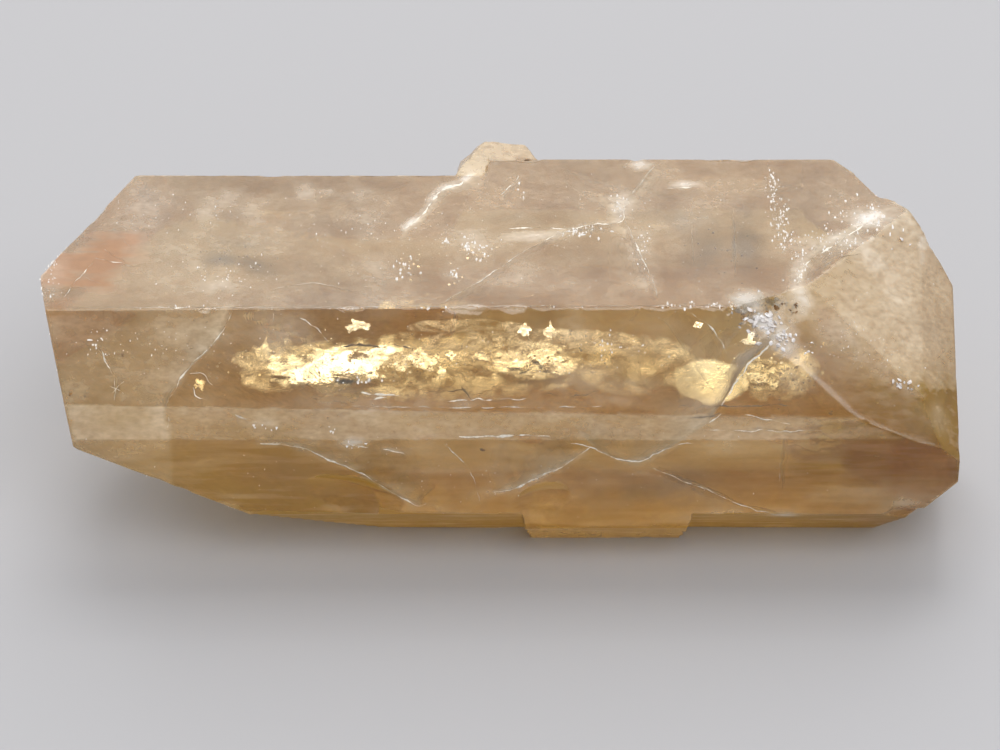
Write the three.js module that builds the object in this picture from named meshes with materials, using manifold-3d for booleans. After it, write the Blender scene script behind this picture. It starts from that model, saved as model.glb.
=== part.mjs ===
import * as THREE from 'three';
import { mergeVertices } from 'three/addons/utils/BufferGeometryUtils.js';
import Module from 'manifold-3d';

const wasm = await Module();
wasm.setup();

// A loose, broken prism of golden barite lying on its flat underside, grown as one piece.
// Millimetres. X runs along the prism, Y from front to back, Z up from the resting face.

// Driving dimensions of the cross-section: each names a line or a face that runs along X.
const height = 10.3; // resting face to top face
const ridgeY = -3.25; // front edge of the top face, halfway along
const ridgeSkew = 0.5; // degrees that the ridge runs off the long axis
const shoulderY = 5.15; // back edge of the top face, on the deeper right part
const frontY = -5.85; // the steep lower front face
const backY = 6.3; // the steep back face, on the deeper right part
const bandTopZ = 7.3; // where the sloping front face turns into the narrow steep band
const bandDepth = 0.31; // how far the band's upper edge lies behind the lower front face
const lipZ = 1.87; // lower edge of the front face, above its undercut
const heelZ = 2.6; // lower edge of the back face, above its undercut

// The ends, along X.
const leftTipX = -16.9; // leftmost point of the top face
const rightEndX = 16.7; // the upright broken right end
const endFacetX = 11.1; // where the pale end facet starts on the top face
const toeX = -15.9; // where the rising underside of the left end reaches the front face
const toeZ = 6.2;

// Steps between growth layers.
const backStep = 0.95; // the left part's back stands this far forward of the right part's
const backStepX = -0.3; // where that step crosses the top face
const lipStep = 0.73; // the lip is this much higher away from its middle ledge
const ledgeFromX = 0.9; // the low middle ledge of the lip
const ledgeToX = 7.1;

// Tilts of the growth faces from straight up, in degrees, after barite's cell.
const domeTilt = 52.7;
const bandTilt = 74;
const steepTilt = 90;
const undercutTilt = 180 - domeTilt;

const blockSize = 60; // every cutting block is larger than the crystal

function unitNormal(azimuth, tilt) {
  // Outward direction of a face: azimuth about Z from +X, tilt down from +Z.
  const a = THREE.MathUtils.degToRad(azimuth);
  const t = THREE.MathUtils.degToRad(tilt);
  return new THREE.Vector3(Math.sin(t) * Math.cos(a), Math.sin(t) * Math.sin(a), Math.cos(t));
}

function turnOf(degrees) {
  const [x, y, z] = degrees.map(THREE.MathUtils.degToRad);
  return new THREE.Quaternion().setFromEuler(new THREE.Euler(x, y, z));
}

function solidOf(geometry, centre, turn, scale = [1, 1, 1]) {
  // A closed three.js geometry as a manifold solid, scaled, turned and then moved to its centre.
  const plain = geometry.clone();
  plain.deleteAttribute('normal');
  plain.deleteAttribute('uv');
  plain.applyMatrix4(new THREE.Matrix4().compose(centre, turn, new THREE.Vector3(...scale)));
  const merged = mergeVertices(plain, 1e-5);
  return new wasm.Manifold(new wasm.Mesh({
    numProp: 3,
    vertProperties: new Float32Array(merged.attributes.position.array),
    triVerts: new Uint32Array(merged.index.array),
  }));
}

function beyond(azimuth, tilt, point) {
  // Everything outside the face through the point: a big block whose inner side is the face.
  const normal = unitNormal(azimuth, tilt);
  const turn = new THREE.Quaternion().setFromUnitVectors(new THREE.Vector3(0, 0, 1), normal);
  const centre = new THREE.Vector3(...point).addScaledVector(normal, blockSize / 2);
  return solidOf(new THREE.BoxGeometry(blockSize, blockSize, blockSize), centre, turn);
}

function block(size, centre, degrees = [0, 0, 0]) {
  return solidOf(new THREE.BoxGeometry(...size), new THREE.Vector3(...centre), turnOf(degrees));
}

function shell(centre, radii, degrees = [0, 0, 0]) {
  // The stretched ball that a shell-like break is struck from.
  const ball = new THREE.IcosahedronGeometry(1, 7);
  return solidOf(ball, new THREE.Vector3(...centre), turnOf(degrees), radii);
}

// Faces that run along the prism, each as azimuth, tilt and a point that it passes through.
const prismFaces = [
  [-90, 0, [0, 0, height]],
  [-90 + ridgeSkew, domeTilt, [0, ridgeY, height]],
  [-90, bandTilt, [0, frontY + bandDepth, bandTopZ]],
  [-90, steepTilt, [0, frontY, 0]],
  [-90, undercutTilt, [0, frontY, lipZ]],
  [90, domeTilt, [0, shoulderY, height]],
  [90, steepTilt, [0, backY, 0]],
  [90, undercutTilt, [0, backY, heelZ]],
  [90, 180, [0, 0, 0]],
];

// Faces that close the right end: the pale facet, the bevel below it, its narrow outer strip,
// the upright end, the back corner, and the two undercuts.
const rightEndFaces = [
  [-43, 34, [endFacetX, ridgeY + 1.17, height]],
  [-66, 39, [11.7, ridgeY + 0.85, height - 0.46]],
  [-27, 46, [15.6, 0.85, 9.4]],
  [0, steepTilt, [rightEndX, 0, 0]],
  [42, steepTilt, [14.6, 2.75, height]],
  [-25, 128, [16.4, frontY, 3.85]],
  [30, 125, [15.2, 4.4, 2.2]],
];

// Faces that close the left end: back corner, upright front corner, rising underside,
// and a bevel low at the back.
const leftEndFaces = [
  [151, 97, [leftTipX, -2.1, height]],
  [190, 96, [leftTipX + 0.55, -2.6, height]],
  [180, 152, [toeX, frontY, toeZ]],
  [140, 120, [-12.6, 4.2, 4.4]],
];

function growthForm() {
  // The unbroken convex crystal: a block cut back to each of its faces in turn.
  let solid = block([40, 20, 20], [0, 0, 5]);
  for (const face of [...prismFaces, ...rightEndFaces, ...leftEndFaces]) {
    solid = solid.subtract(beyond(...face));
  }
  return solid;
}

function backStepCut() {
  // The left part's back faces lie forward of the right part's, behind an oblique riser.
  const left = beyond(168, 80, [backStepX, shoulderY, height]);
  const dome = beyond(90, domeTilt, [0, shoulderY - backStep, height]);
  const steep = beyond(90, steepTilt, [0, backY - backStep, 0]);
  return dome.add(steep).intersect(left);
}

function lipCuts() {
  // The lip stands higher on both sides of the middle ledge.
  const raised = beyond(-90, undercutTilt, [0, frontY, lipZ + lipStep]);
  const leftOfLedge = beyond(170, 90, [ledgeFromX, frontY, 0]);
  const rightOfLedge = beyond(12, 90, [ledgeToX, frontY, 0]);
  return leftOfLedge.add(rightOfLedge).intersect(raised);
}

function cornerBreak() {
  // The back right corner is broken down to a short riser and a narrow shelf.
  const riser = beyond(31, 88, [12.75, shoulderY - 0.1, height]);
  const shelf = beyond(75, 70, [14.2, 2.9, height]);
  return riser.intersect(shelf);
}

function overgrowth() {
  // The small irregular lump that stands out of the back just below the top edge.
  const lump = block([2.9, 2.4, 1.7], [-0.05, 4.85, 9.2], [8, 4, -3]);
  const slopes = beyond(150, 62, [-0.75, 5.6, 10.05]).add(beyond(28, 60, [1.1, 5.7, 9.9]));
  return lump.subtract(slopes);
}

// Shell-like breaks, each as the centre, radii and turn of the ball that it is struck from.
const breaks = [
  [[-5.2, -7.6, 3.6], [3.4, 2.1, 1.5], [0, 18, 4]], // broad scallop on the lower front
  [[1.6, -7.3, 3.3], [2.0, 1.75, 1.4], [0, -32, 0]], // smaller scallop beside it
  [[9.6, -3.9, 10.2], [0.75, 0.7, 0.6], [20, 0, 12]], // pit at the right end of the ridge
  [[16.95, -4.4, 6.9], [0.6, 1.1, 0.55], [0, 0, 8]], // notch in the upright right end
  [[15.4, -6.3, 2.0], [1.6, 1.0, 0.9], [0, 25, 10]], // broken lower right corner
  [[-17.35, 0.1, 9.0], [0.9, 1.6, 1.3], [0, 10, 28]], // hollow below the left tip
  [[-16.35, -4.9, 7.6], [0.5, 1.2, 1.9], [0, 0, -10]], // flake off the left front edge
  [[-12.0, -6.3, 3.3], [1.8, 0.75, 0.8], [0, 28, 0]], // flake off the rising underside
  [[5.1, 6.2, 10.2], [0.8, 1.1, 0.7], [0, 0, 6]], // chip off the back edge
  [[-8.4, 5.3, 10.5], [1.6, 1.2, 0.7], [0, 0, 0]], // flake off the left back edge
  [[-3.6, -3.3, 10.55], [0.9, 0.45, 0.4], [0, 4, 0]], // bruises along the ridge
  [[-12.2, -3.3, 10.6], [1.1, 0.45, 0.42], [0, 0, 0]],
  [[3.9, -3.25, 10.5], [0.35, 0.3, 0.3], [0, 0, 0]],
  [[8.5, 7.2, 4.8], [3.6, 1.5, 2.3], [0, 12, 0]], // broad scallop low on the back
  [[-6.4, 6.6, 3.4], [2.6, 1.8, 1.6], [0, -20, 0]], // and another on the left part
  [[12.2, 5.6, 1.2], [1.6, 1.3, 1.0], [0, -20, 12]], // flake off the back heel
];

function crystal() {
  let solid = growthForm();
  solid = solid.subtract(backStepCut());
  solid = solid.subtract(lipCuts());
  solid = solid.subtract(cornerBreak());
  solid = solid.add(overgrowth());
  for (const strike of breaks) {
    solid = solid.subtract(shell(...strike));
  }
  return solid;
}

function geometryOf(solid) {
  const mesh = solid.getMesh();
  const geometry = new THREE.BufferGeometry();
  geometry.setAttribute('position', new THREE.BufferAttribute(new Float32Array(mesh.vertProperties), 3));
  geometry.setIndex(new THREE.BufferAttribute(new Uint32Array(mesh.triVerts), 1));
  geometry.computeBoundingBox();
  return geometry;
}

function centred(geometry) {
  // The origin goes to the middle of the bounding box's base, on the resting plane.
  const middle = geometry.boundingBox.getCenter(new THREE.Vector3());
  geometry.translate(-middle.x, -middle.y, -geometry.boundingBox.min.z);
  geometry.computeVertexNormals();
  return geometry;
}

const barite = new THREE.MeshStandardMaterial({
  color: 0xcfa874,
  roughness: 0.25,
  metalness: 0,
  flatShading: true,
});

const part = new THREE.Group();
const body = new THREE.Mesh(centred(geometryOf(crystal())), barite);
body.name = 'barite_crystal';
part.add(body);

export default part;
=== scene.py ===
import bpy
import math
import numpy as np
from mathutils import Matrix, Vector


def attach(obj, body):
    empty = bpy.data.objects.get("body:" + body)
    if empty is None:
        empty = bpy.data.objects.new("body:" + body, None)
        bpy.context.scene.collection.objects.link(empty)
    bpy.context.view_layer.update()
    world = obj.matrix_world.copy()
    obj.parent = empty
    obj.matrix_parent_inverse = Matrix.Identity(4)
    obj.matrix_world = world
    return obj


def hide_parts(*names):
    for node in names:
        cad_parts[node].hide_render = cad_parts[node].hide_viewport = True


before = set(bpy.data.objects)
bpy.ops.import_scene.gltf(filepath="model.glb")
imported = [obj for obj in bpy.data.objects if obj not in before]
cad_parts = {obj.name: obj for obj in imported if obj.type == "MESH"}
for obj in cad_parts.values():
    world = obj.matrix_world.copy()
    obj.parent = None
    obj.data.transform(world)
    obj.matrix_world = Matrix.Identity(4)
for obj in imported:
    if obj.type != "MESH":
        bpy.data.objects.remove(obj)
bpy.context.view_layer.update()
bodyName = "root"
mm = 0.001

# Lengths and places below are millimetres in the crystal's own drawing: x along the prism,
# y to the back, z up from the resting face. meshFrom moves them onto the frame's crystal.
drawingShift = np.array([-0.0752, -0.225, 0.0])

crystalSize = {
    "height": 10.3,
    "ridgeY": -3.25,       # front edge of the top face
    "ridgeSkew": 0.5,      # degrees that the ridge runs off the long axis
    "shoulderY": 5.15,     # back edge of the top face, right part
    "frontY": -5.85,       # upright lower front face
    "backY": 6.3,          # upright back face, right part
    "bandTopZ": 7.3,       # top of the narrow steep band
    "bandDepth": 0.31,
    "lipZ": 1.87,          # lower edge of the front face
    "heelZ": 2.6,          # lower edge of the back face
    "leftTipX": -16.9,
    "rightEndX": 16.7,
    "endFacetX": 11.1,
    "toeX": -15.9,
    "toeZ": 6.2,
    "backStep": 0.95,      # the left part's back stands this far forward
    "backStepX": -0.3,
    "lipStep": 0.73,
    "ledgeFromX": 0.9,
    "ledgeToX": 7.1,
    "dome": 52.7,          # tilts of the growth faces from straight up
    "band": 74.0,
    "steep": 90.0,
}
cs = crystalSize
top = cs["height"]
undercut = 180 - cs["dome"]
ridgeY = cs["ridgeY"]
frontY = cs["frontY"]

# azimuth, tilt, a point on the face, then its haze, frost and honey tint from 0 to 1; a tilt
# is counted from straight up, so that 90 is an upright face and more than 90 an undercut one
growthFaces = {
    "top": (-90, 0, (0, 0, top), 0.16, 0.12, 0.02),
    "dome": (-90 + cs["ridgeSkew"], cs["dome"], (0, ridgeY, top), 0.06, 0.04, 0.16),
    "band": (-90, cs["band"], (0, frontY + cs["bandDepth"], cs["bandTopZ"]), 0.32, 0.12, 0.22),
    # the front's and the lip's deep honey is partly painted shade, darkening these low faces as if
    # in shadow
    "front": (-90, cs["steep"], (0, frontY, 0), 0.11, 0.16, 0.46),
    "lip": (-90, undercut, (0, frontY, cs["lipZ"]), 0.16, 0.30, 1.00),
    "backDome": (90, cs["dome"], (0, cs["shoulderY"], top), 0.25, 0.25, 0.05),
    "back": (90, cs["steep"], (0, cs["backY"], 0), 0.32, 0.34, 0.06),
    "heel": (90, undercut, (0, cs["backY"], cs["heelZ"]), 0.45, 0.40, 0.02),
    "rest": (90, 180, (0, 0, 0), 0.60, 0.50, 0.0),
    "facet": (-43, 34, (cs["endFacetX"], ridgeY + 1.17, top), 0.48, 0.32, 0.0),
    "bevel": (-66, 39, (11.7, ridgeY + 0.85, top - 0.46), 0.38, 0.20, 0.0),
    "strip": (-27, 46, (15.6, 0.85, 9.4), 0.40, 0.32, 0.03),
    "end": (0, cs["steep"], (cs["rightEndX"], 0, 0), 0.30, 0.35, 0.15),
    "corner": (42, cs["steep"], (14.6, 2.75, top), 0.35, 0.35, 0.20),
    "endUnder": (-25, 128, (16.4, frontY, 3.85), 0.40, 0.35, 0.20),
    "heelUnder": (30, 125, (15.2, 4.4, 2.2), 0.35, 0.40, 0.20),
    "tipBack": (151, 97, (cs["leftTipX"], -2.1, top), 0.26, 0.30, 0.10),
    "tipFront": (190, 96, (cs["leftTipX"] + 0.55, -2.6, top), 0.25, 0.35, 0.30),
    "toe": (180, 152, (cs["toeX"], frontY, cs["toeZ"]), 0.30, 0.38, 0.40),
    "backBevel": (140, 120, (-12.6, 4.2, 4.4), 0.35, 0.42, 0.10),
}
# the rest of the surface has these labels: left by a corner cut, inside a break, on the lump,
# and left by a cut low on the front; haze, frost and honey of each
onCut, inBreak, onLump, onLowCut = -1, -2, -3, -4
otherLooks = {
    onCut: (0.36, 0.34, 0.08),
    inBreak: (0.10, 0.15, 0.60),
    onLump: (0.50, 0.25, 0.02),
    # the low cuts' full honey is partly painted shade on the lowest front faces
    onLowCut: (0.30, 0.45, 1.00),
}

# what lies beyond all faces of one of these lists is gone: the step in the back, the front's
# ledge to either side, and the right end's corner; lowCuts are the numbers of those that leave
# a golden face low on the front
leftBack = (168, 80, (cs["backStepX"], cs["shoulderY"], top))
raisedLip = (-90, undercut, (0, frontY, cs["lipZ"] + cs["lipStep"]))
cornerCuts = [
    [(90, cs["dome"], (0, cs["shoulderY"] - cs["backStep"], top)), leftBack],
    [(90, cs["steep"], (0, cs["backY"] - cs["backStep"], 0)), leftBack],
    [raisedLip, (170, 90, (cs["ledgeFromX"], frontY, 0))],
    [raisedLip, (12, 90, (cs["ledgeToX"], frontY, 0))],
    [(31, 88, (12.75, cs["shoulderY"] - 0.1, top)), (75, 70, (14.2, 2.9, top))],
]
lowCuts = (2, 3)

# the lump that grew on the back edge, as the faces round it
lumpFaces = [
    (-63, 8.9, (0.01, 4.73, 10.12)),
    (87, 82, (0.01, 6.27, 9.40)),
    (-93, 98, (-0.11, 3.66, 9.04)),
    (-3, 94, (1.50, 4.77, 9.1)),
    (177, 86, (-1.55, 4.93, 9.3)),
    (117, 171, (-0.11, 4.97, 8.36)),
    (150, 52, (-0.85, 5.8, 10.15)),
    (28, 62, (1.25, 5.8, 10.1)),
]

# shell-like breaks: centre, radii, turn about y in degrees
shellBreaks = [
    ((-5.2, -7.6, 3.6), (3.4, 2.1, 1.5), 18),
    ((1.6, -7.3, 3.3), (2.0, 1.75, 1.4), -32),
    ((9.6, -3.9, 10.2), (0.75, 0.7, 0.6), 0),
    ((16.95, -4.4, 6.9), (0.6, 1.1, 0.55), 0),
    ((15.4, -6.3, 2.0), (1.6, 1.0, 0.9), 25),
    ((-17.35, 0.1, 9.0), (0.9, 1.6, 1.3), 10),
    ((-16.35, -4.9, 7.6), (0.5, 1.2, 1.9), 0),
    ((-12.0, -6.3, 3.3), (1.8, 0.75, 0.8), 28),
    ((5.1, 6.2, 10.2), (0.8, 1.1, 0.7), 0),
    ((-8.4, 5.3, 10.5), (1.6, 1.2, 0.7), 0),
    ((8.5, 10.25, 4.8), (6.2, 4.2, 4.0), 12),
    ((-6.4, 8.8, 4.2), (4.8, 3.65, 3.2), -20),
    ((12.2, 5.6, 1.2), (1.6, 1.3, 1.0), -20),
]


def faceNormal(azimuth, tilt):
    # unit vector: azimuth about z from x, tilt down from straight up
    a, t = math.radians(azimuth), math.radians(tilt)
    return np.array([math.sin(t) * math.cos(a), math.sin(t) * math.sin(a), math.cos(t)])


def facePlanes(faces):
    # normals and their distances from the drawing's origin
    facing = np.array([faceNormal(face[0], face[1]) for face in faces])
    away = np.array([normal @ np.array(face[2]) for normal, face in zip(facing, faces)])
    return facing, away


def latticeNoise(points, cell, seed):
    # from -1 to 1: a random value at every corner of a lattice, blended smoothly between corners
    scaled = points / cell
    corner = np.floor(scaled).astype(np.int64)
    part = scaled - corner
    part = part * part * (3 - 2 * part)
    total = np.zeros(points.shape[:-1])
    for side in np.ndindex(2, 2, 2):
        x, y, z = np.moveaxis((corner + np.array(side)).astype(np.uint64), -1, 0)
        mixed = x * np.uint64(73856093) ^ y * np.uint64(19349663) ^ z * np.uint64(83492791)
        mixed = (mixed + np.uint64(seed * 2654435761)) * np.uint64(6364136223846793005)
        value = ((mixed >> np.uint64(33)) & np.uint64(0xFFFF)).astype(float) / 32767.5 - 1
        total += value * np.where(side, part, 1 - part).prod(-1)
    return total


def roughNoise(points, cell, seed, octaves=4):
    # lattice noises of halving cell and halving strength, added up
    total, strength = np.zeros(points.shape[:-1]), 1.0
    for octave in range(octaves):
        total += strength * latticeNoise(points, cell / 2 ** octave, seed + octave)
        strength *= 0.5
    return total


def smoothStep(low, high, value):
    # 0 below low, 1 above high, an s-curve between
    share = np.clip((value - low) / (high - low), 0, 1)
    return share * share * (3 - 2 * share)


def meshFrom(name, vertices, faces, smoothAngle, masks):
    # a mesh object from arrays, with one number per vertex stored for each mask
    mesh = bpy.data.meshes.new(name)
    mesh.vertices.add(len(vertices))
    mesh.vertices.foreach_set("co", (np.asarray(vertices) + drawingShift).ravel() * mm)
    mesh.loops.add(faces.size)
    mesh.loops.foreach_set("vertex_index", faces.ravel().astype(np.int32))
    mesh.polygons.add(len(faces))
    starts = np.arange(0, faces.size, faces.shape[1], dtype=np.int32)
    mesh.polygons.foreach_set("loop_start", starts)
    mesh.update(calc_edges=True)
    mesh.shade_smooth()
    mesh.set_sharp_from_angle(angle=math.radians(smoothAngle))
    for mask, values in masks.items():
        layer = mesh.attributes.new(mask, "FLOAT", "POINT")
        layer.data.foreach_set("value", np.asarray(values, dtype=np.float32).ravel())
    piece = bpy.data.objects.new(name, mesh)
    bpy.context.scene.collection.objects.link(piece)
    return piece


def keepPiece(piece, material):
    # every piece belongs to the one body and the one slot
    piece.data.materials.append(material)
    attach(piece, bodyName)
    print(piece.name, "made,", len(piece.data.polygons), "faces")


# the field of rays that the crystal's surface is found along
rayGrid = {
    "middleRows": 222,
    "endRows": 70,         # rows of each rounded end
    "endX": 11.5,          # where the rays start to fan out
    "endHeight": 4.6,
    "endReach": 5.6,
    "leftAxis": (0.2, 6.5),
    "rightAxis": (0.2, 5.1),
    "columns": {"dome": 34, "band": 14, "front": 36, "lip": 14, "rest": 30,
                "heel": 16, "back": 28, "backDome": 12, "top": 80},
}


def sectionAngles():
    # angles round the axis, evenly spaced along the outline of the prism's cross-section
    slope = math.tan(math.radians(cs["dome"]))
    bandFoot = cs["bandTopZ"] - cs["bandDepth"] * math.tan(math.radians(cs["band"]))
    lip = cs["lipZ"] + cs["lipStep"]
    corners = {
        "dome": (ridgeY, top),
        "band": (frontY + cs["bandDepth"], cs["bandTopZ"]),
        "front": (frontY, bandFoot),
        "lip": (frontY, lip),
        "rest": (frontY + lip / slope, 0),
        "heel": (cs["backY"] - cs["heelZ"] / slope, 0),
        "back": (cs["backY"], cs["heelZ"]),
        "backDome": (cs["backY"], top - (cs["backY"] - cs["shoulderY"]) * slope),
        "top": (cs["shoulderY"], top),
    }
    names = list(corners)
    axis = (np.array(rayGrid["leftAxis"]) + np.array(rayGrid["rightAxis"])) / 2
    angles = []
    for name, following in zip(names, names[1:] + names[:1]):
        start, end = np.array(corners[name]), np.array(corners[following])
        share = np.arange(rayGrid["columns"][name])[:, None] / rayGrid["columns"][name]
        point = start + share * (end - start) - axis
        angles.append(np.arctan2(point[:, 1], point[:, 0]))
    return np.unwrap(np.concatenate(angles))


def rayField():
    # rays laid out as on a capsule: straight out from a line along the middle, and fanning
    # out round both ends of that line
    g = rayGrid
    turn = sectionAngles()[None, :]
    path = np.linspace(0, g["endReach"] + g["endHeight"], g["endRows"], endpoint=False)[1:]
    overTop = np.arctan2(path, g["endHeight"])
    downEnd = np.arctan2(g["endReach"], g["endHeight"] + g["endReach"] - path)
    lean = np.where(path < g["endReach"], overTop, downEnd)
    middle = np.linspace(-1, 1, g["middleRows"])
    along = np.concatenate([-np.ones(len(lean)), middle, np.ones(len(lean))])
    slant = np.concatenate([-lean[::-1], np.zeros(len(middle)), lean])[:, None]
    left, right = np.array(g["leftAxis"]), np.array(g["rightAxis"])
    axis = left + (along[:, None] + 1) / 2 * (right - left)
    origin = np.stack([along * g["endX"], axis[:, 0], axis[:, 1]], -1)
    direction = np.stack([np.sin(slant) + 0 * turn, np.cos(slant) * np.cos(turn),
                          np.cos(slant) * np.sin(turn)], -1)
    return np.broadcast_to(origin[:, None, :], direction.shape).copy(), direction


# a growth face's number is its place in these
normals, offsets = facePlanes(list(growthFaces.values()))


def facesAlong(origin, direction, facing, away):
    # where each ray enters and leaves what lies behind every one of the faces; a ray that runs
    # flat beside a face lies behind it all along or nowhere
    flat = 1e-9
    toward = direction @ facing.T
    height = away - origin @ facing.T
    with np.errstate(divide="ignore", invalid="ignore"):
        reach = height / toward
    leave = np.where(toward > flat, reach, np.inf)
    beside = np.where((toward <= flat) & (height < 0), np.inf, -np.inf)
    enter = np.where(toward < -flat, reach, beside)
    return enter, leave


def crystalReach(origin, direction):
    # the nearest growth face along each ray, pushed out by the lump, and cut short where
    # corners or shells are broken away; label is the face's number or one of the four above
    leave = facesAlong(origin, direction, normals, offsets)[1]
    order = np.argsort(leave, axis=-1)
    first = np.take_along_axis(leave, order[..., :1], -1)[..., 0]
    second = np.take_along_axis(leave, order[..., 1:2], -1)[..., 0]
    label = order[..., 0]
    for number, cut in enumerate(cornerCuts):
        facing, away = facePlanes(cut)
        enter, leave = facesAlong(origin, direction, -facing, -away)
        enter, leave = enter.max(-1), leave.min(-1)
        gone = (enter < leave) & (enter < first) & (enter > 0)
        first = np.where(gone, enter, first)
        second = np.where(gone, first + 1, second)
        label = np.where(gone, onLowCut if number in lowCuts else onCut, label)
    enter, leave = facesAlong(origin, direction, *facePlanes(lumpFaces))
    enter, leave = enter.max(-1), leave.min(-1)
    grown = (enter < leave) & (leave > first)
    first = np.where(grown, leave, first)
    second = np.where(grown, first + 1, second)
    label = np.where(grown, onLump, label)
    for centre, radii, turn in shellBreaks:
        a = math.radians(turn)
        cosine, sine = math.cos(a), math.sin(a)
        spin = np.array([[cosine, 0, -sine], [0, 1, 0], [sine, 0, cosine]])
        o = ((origin - np.array(centre)) @ spin.T) / np.array(radii)
        d = (direction @ spin.T) / np.array(radii)
        qa, qb, qc = (d * d).sum(-1), (o * d).sum(-1), (o * o).sum(-1) - 1
        root = qb * qb - qa * qc
        enter = (-qb - np.sqrt(np.maximum(root, 0))) / qa
        gone = (root > 0) & (enter > 0) & (enter < first)
        first = np.where(gone, enter, first)
        second = np.where(gone, first + 1, second)
        label = np.where(gone, inBreak, label)
    return first, second, label


def depthInside(points):
    # how far each point lies within the crystal, along its ray from the inner axis, and that ray
    share = np.clip(points[..., :1] / rayGrid["endX"], -1, 1)
    left, right = np.array(rayGrid["leftAxis"]), np.array(rayGrid["rightAxis"])
    axis = np.concatenate([share * rayGrid["endX"], left + (share + 1) / 2 * (right - left)], -1)
    away = points - axis
    length = np.linalg.norm(away, axis=-1)
    direction = away / length[..., None]
    return crystalReach(axis, direction)[0] - length, direction


def snapToEdges(points, label):
    # the nearest point beside each edge between two growth faces moves onto that edge
    moved = points.copy()
    nearest = np.full(label.shape, np.inf)
    partner = np.full(label.shape, -1)
    for shift, axis in ((1, 0), (-1, 0), (1, 1), (-1, 1)):
        beside = np.roll(label, shift, axis)
        differs = (beside != label) & (beside >= 0) & (label >= 0)
        if axis == 0:
            differs[0 if shift == 1 else -1] = False
        mine, theirs = normals[label], normals[beside]
        cosine = (mine * theirs).sum(-1)
        sine = np.sqrt(np.maximum(1 - cosine ** 2, 1e-9))
        gap = (offsets[beside] - (points * theirs).sum(-1)) / sine
        gapBeside = (offsets[label] - (np.roll(points, shift, axis) * mine).sum(-1)) / sine
        take = differs & (gap >= 0) & (gap <= gapBeside) & (gap < nearest)
        nearest = np.where(take, gap, nearest)
        partner = np.where(take, beside, partner)
    has = partner >= 0
    mine, theirs = normals[label[has]], normals[partner[has]]
    along = theirs - (mine * theirs).sum(-1, keepdims=True) * mine
    along /= np.linalg.norm(along, axis=-1, keepdims=True)
    moved[has] += along * nearest[has][:, None]
    return moved, has, np.where(has, np.maximum(label, partner), label)


def closedTube(points, startTip, endTip):
    # triangles over a closed tube of points; each square is split along its outward diagonal
    rows, columns = points.shape[:2]
    index = np.arange(rows * columns).reshape(rows, columns)
    a, b, c, d = index[:-1], np.roll(index, -1, 1)[:-1], np.roll(index, -1, 1)[1:], index[1:]
    flat = points.reshape(-1, 3)
    bulge = (np.cross(flat[b] - flat[a], flat[c] - flat[a]) * (flat[d] - flat[a])).sum(-1)
    viaAC = (bulge <= 0)[..., None]
    one = np.where(viaAC, np.stack([a, b, c], -1), np.stack([a, b, d], -1))
    two = np.where(viaAC, np.stack([a, c, d], -1), np.stack([b, c, d], -1))
    first, last = index[0], index[-1]
    startFan = np.stack([np.roll(first, -1), first, np.full(columns, rows * columns)], -1)
    endFan = np.stack([last, np.roll(last, -1), np.full(columns, rows * columns + 1)], -1)
    faces = np.concatenate([one.reshape(-1, 3), two.reshape(-1, 3), startFan, endFan])
    return np.concatenate([flat, [startTip], [endTip]]), faces


justInside = 0.1           # depth under the face of a crack's visible edge


def underTop(pairs):
    # points just under the top face, from x and y
    return [(x, y, top - justInside) for x, y in pairs]


def behindFront(pairs):
    # points just behind the upright front face, from x and z
    return [(x, frontY + justInside, z) for x, z in pairs]


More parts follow.
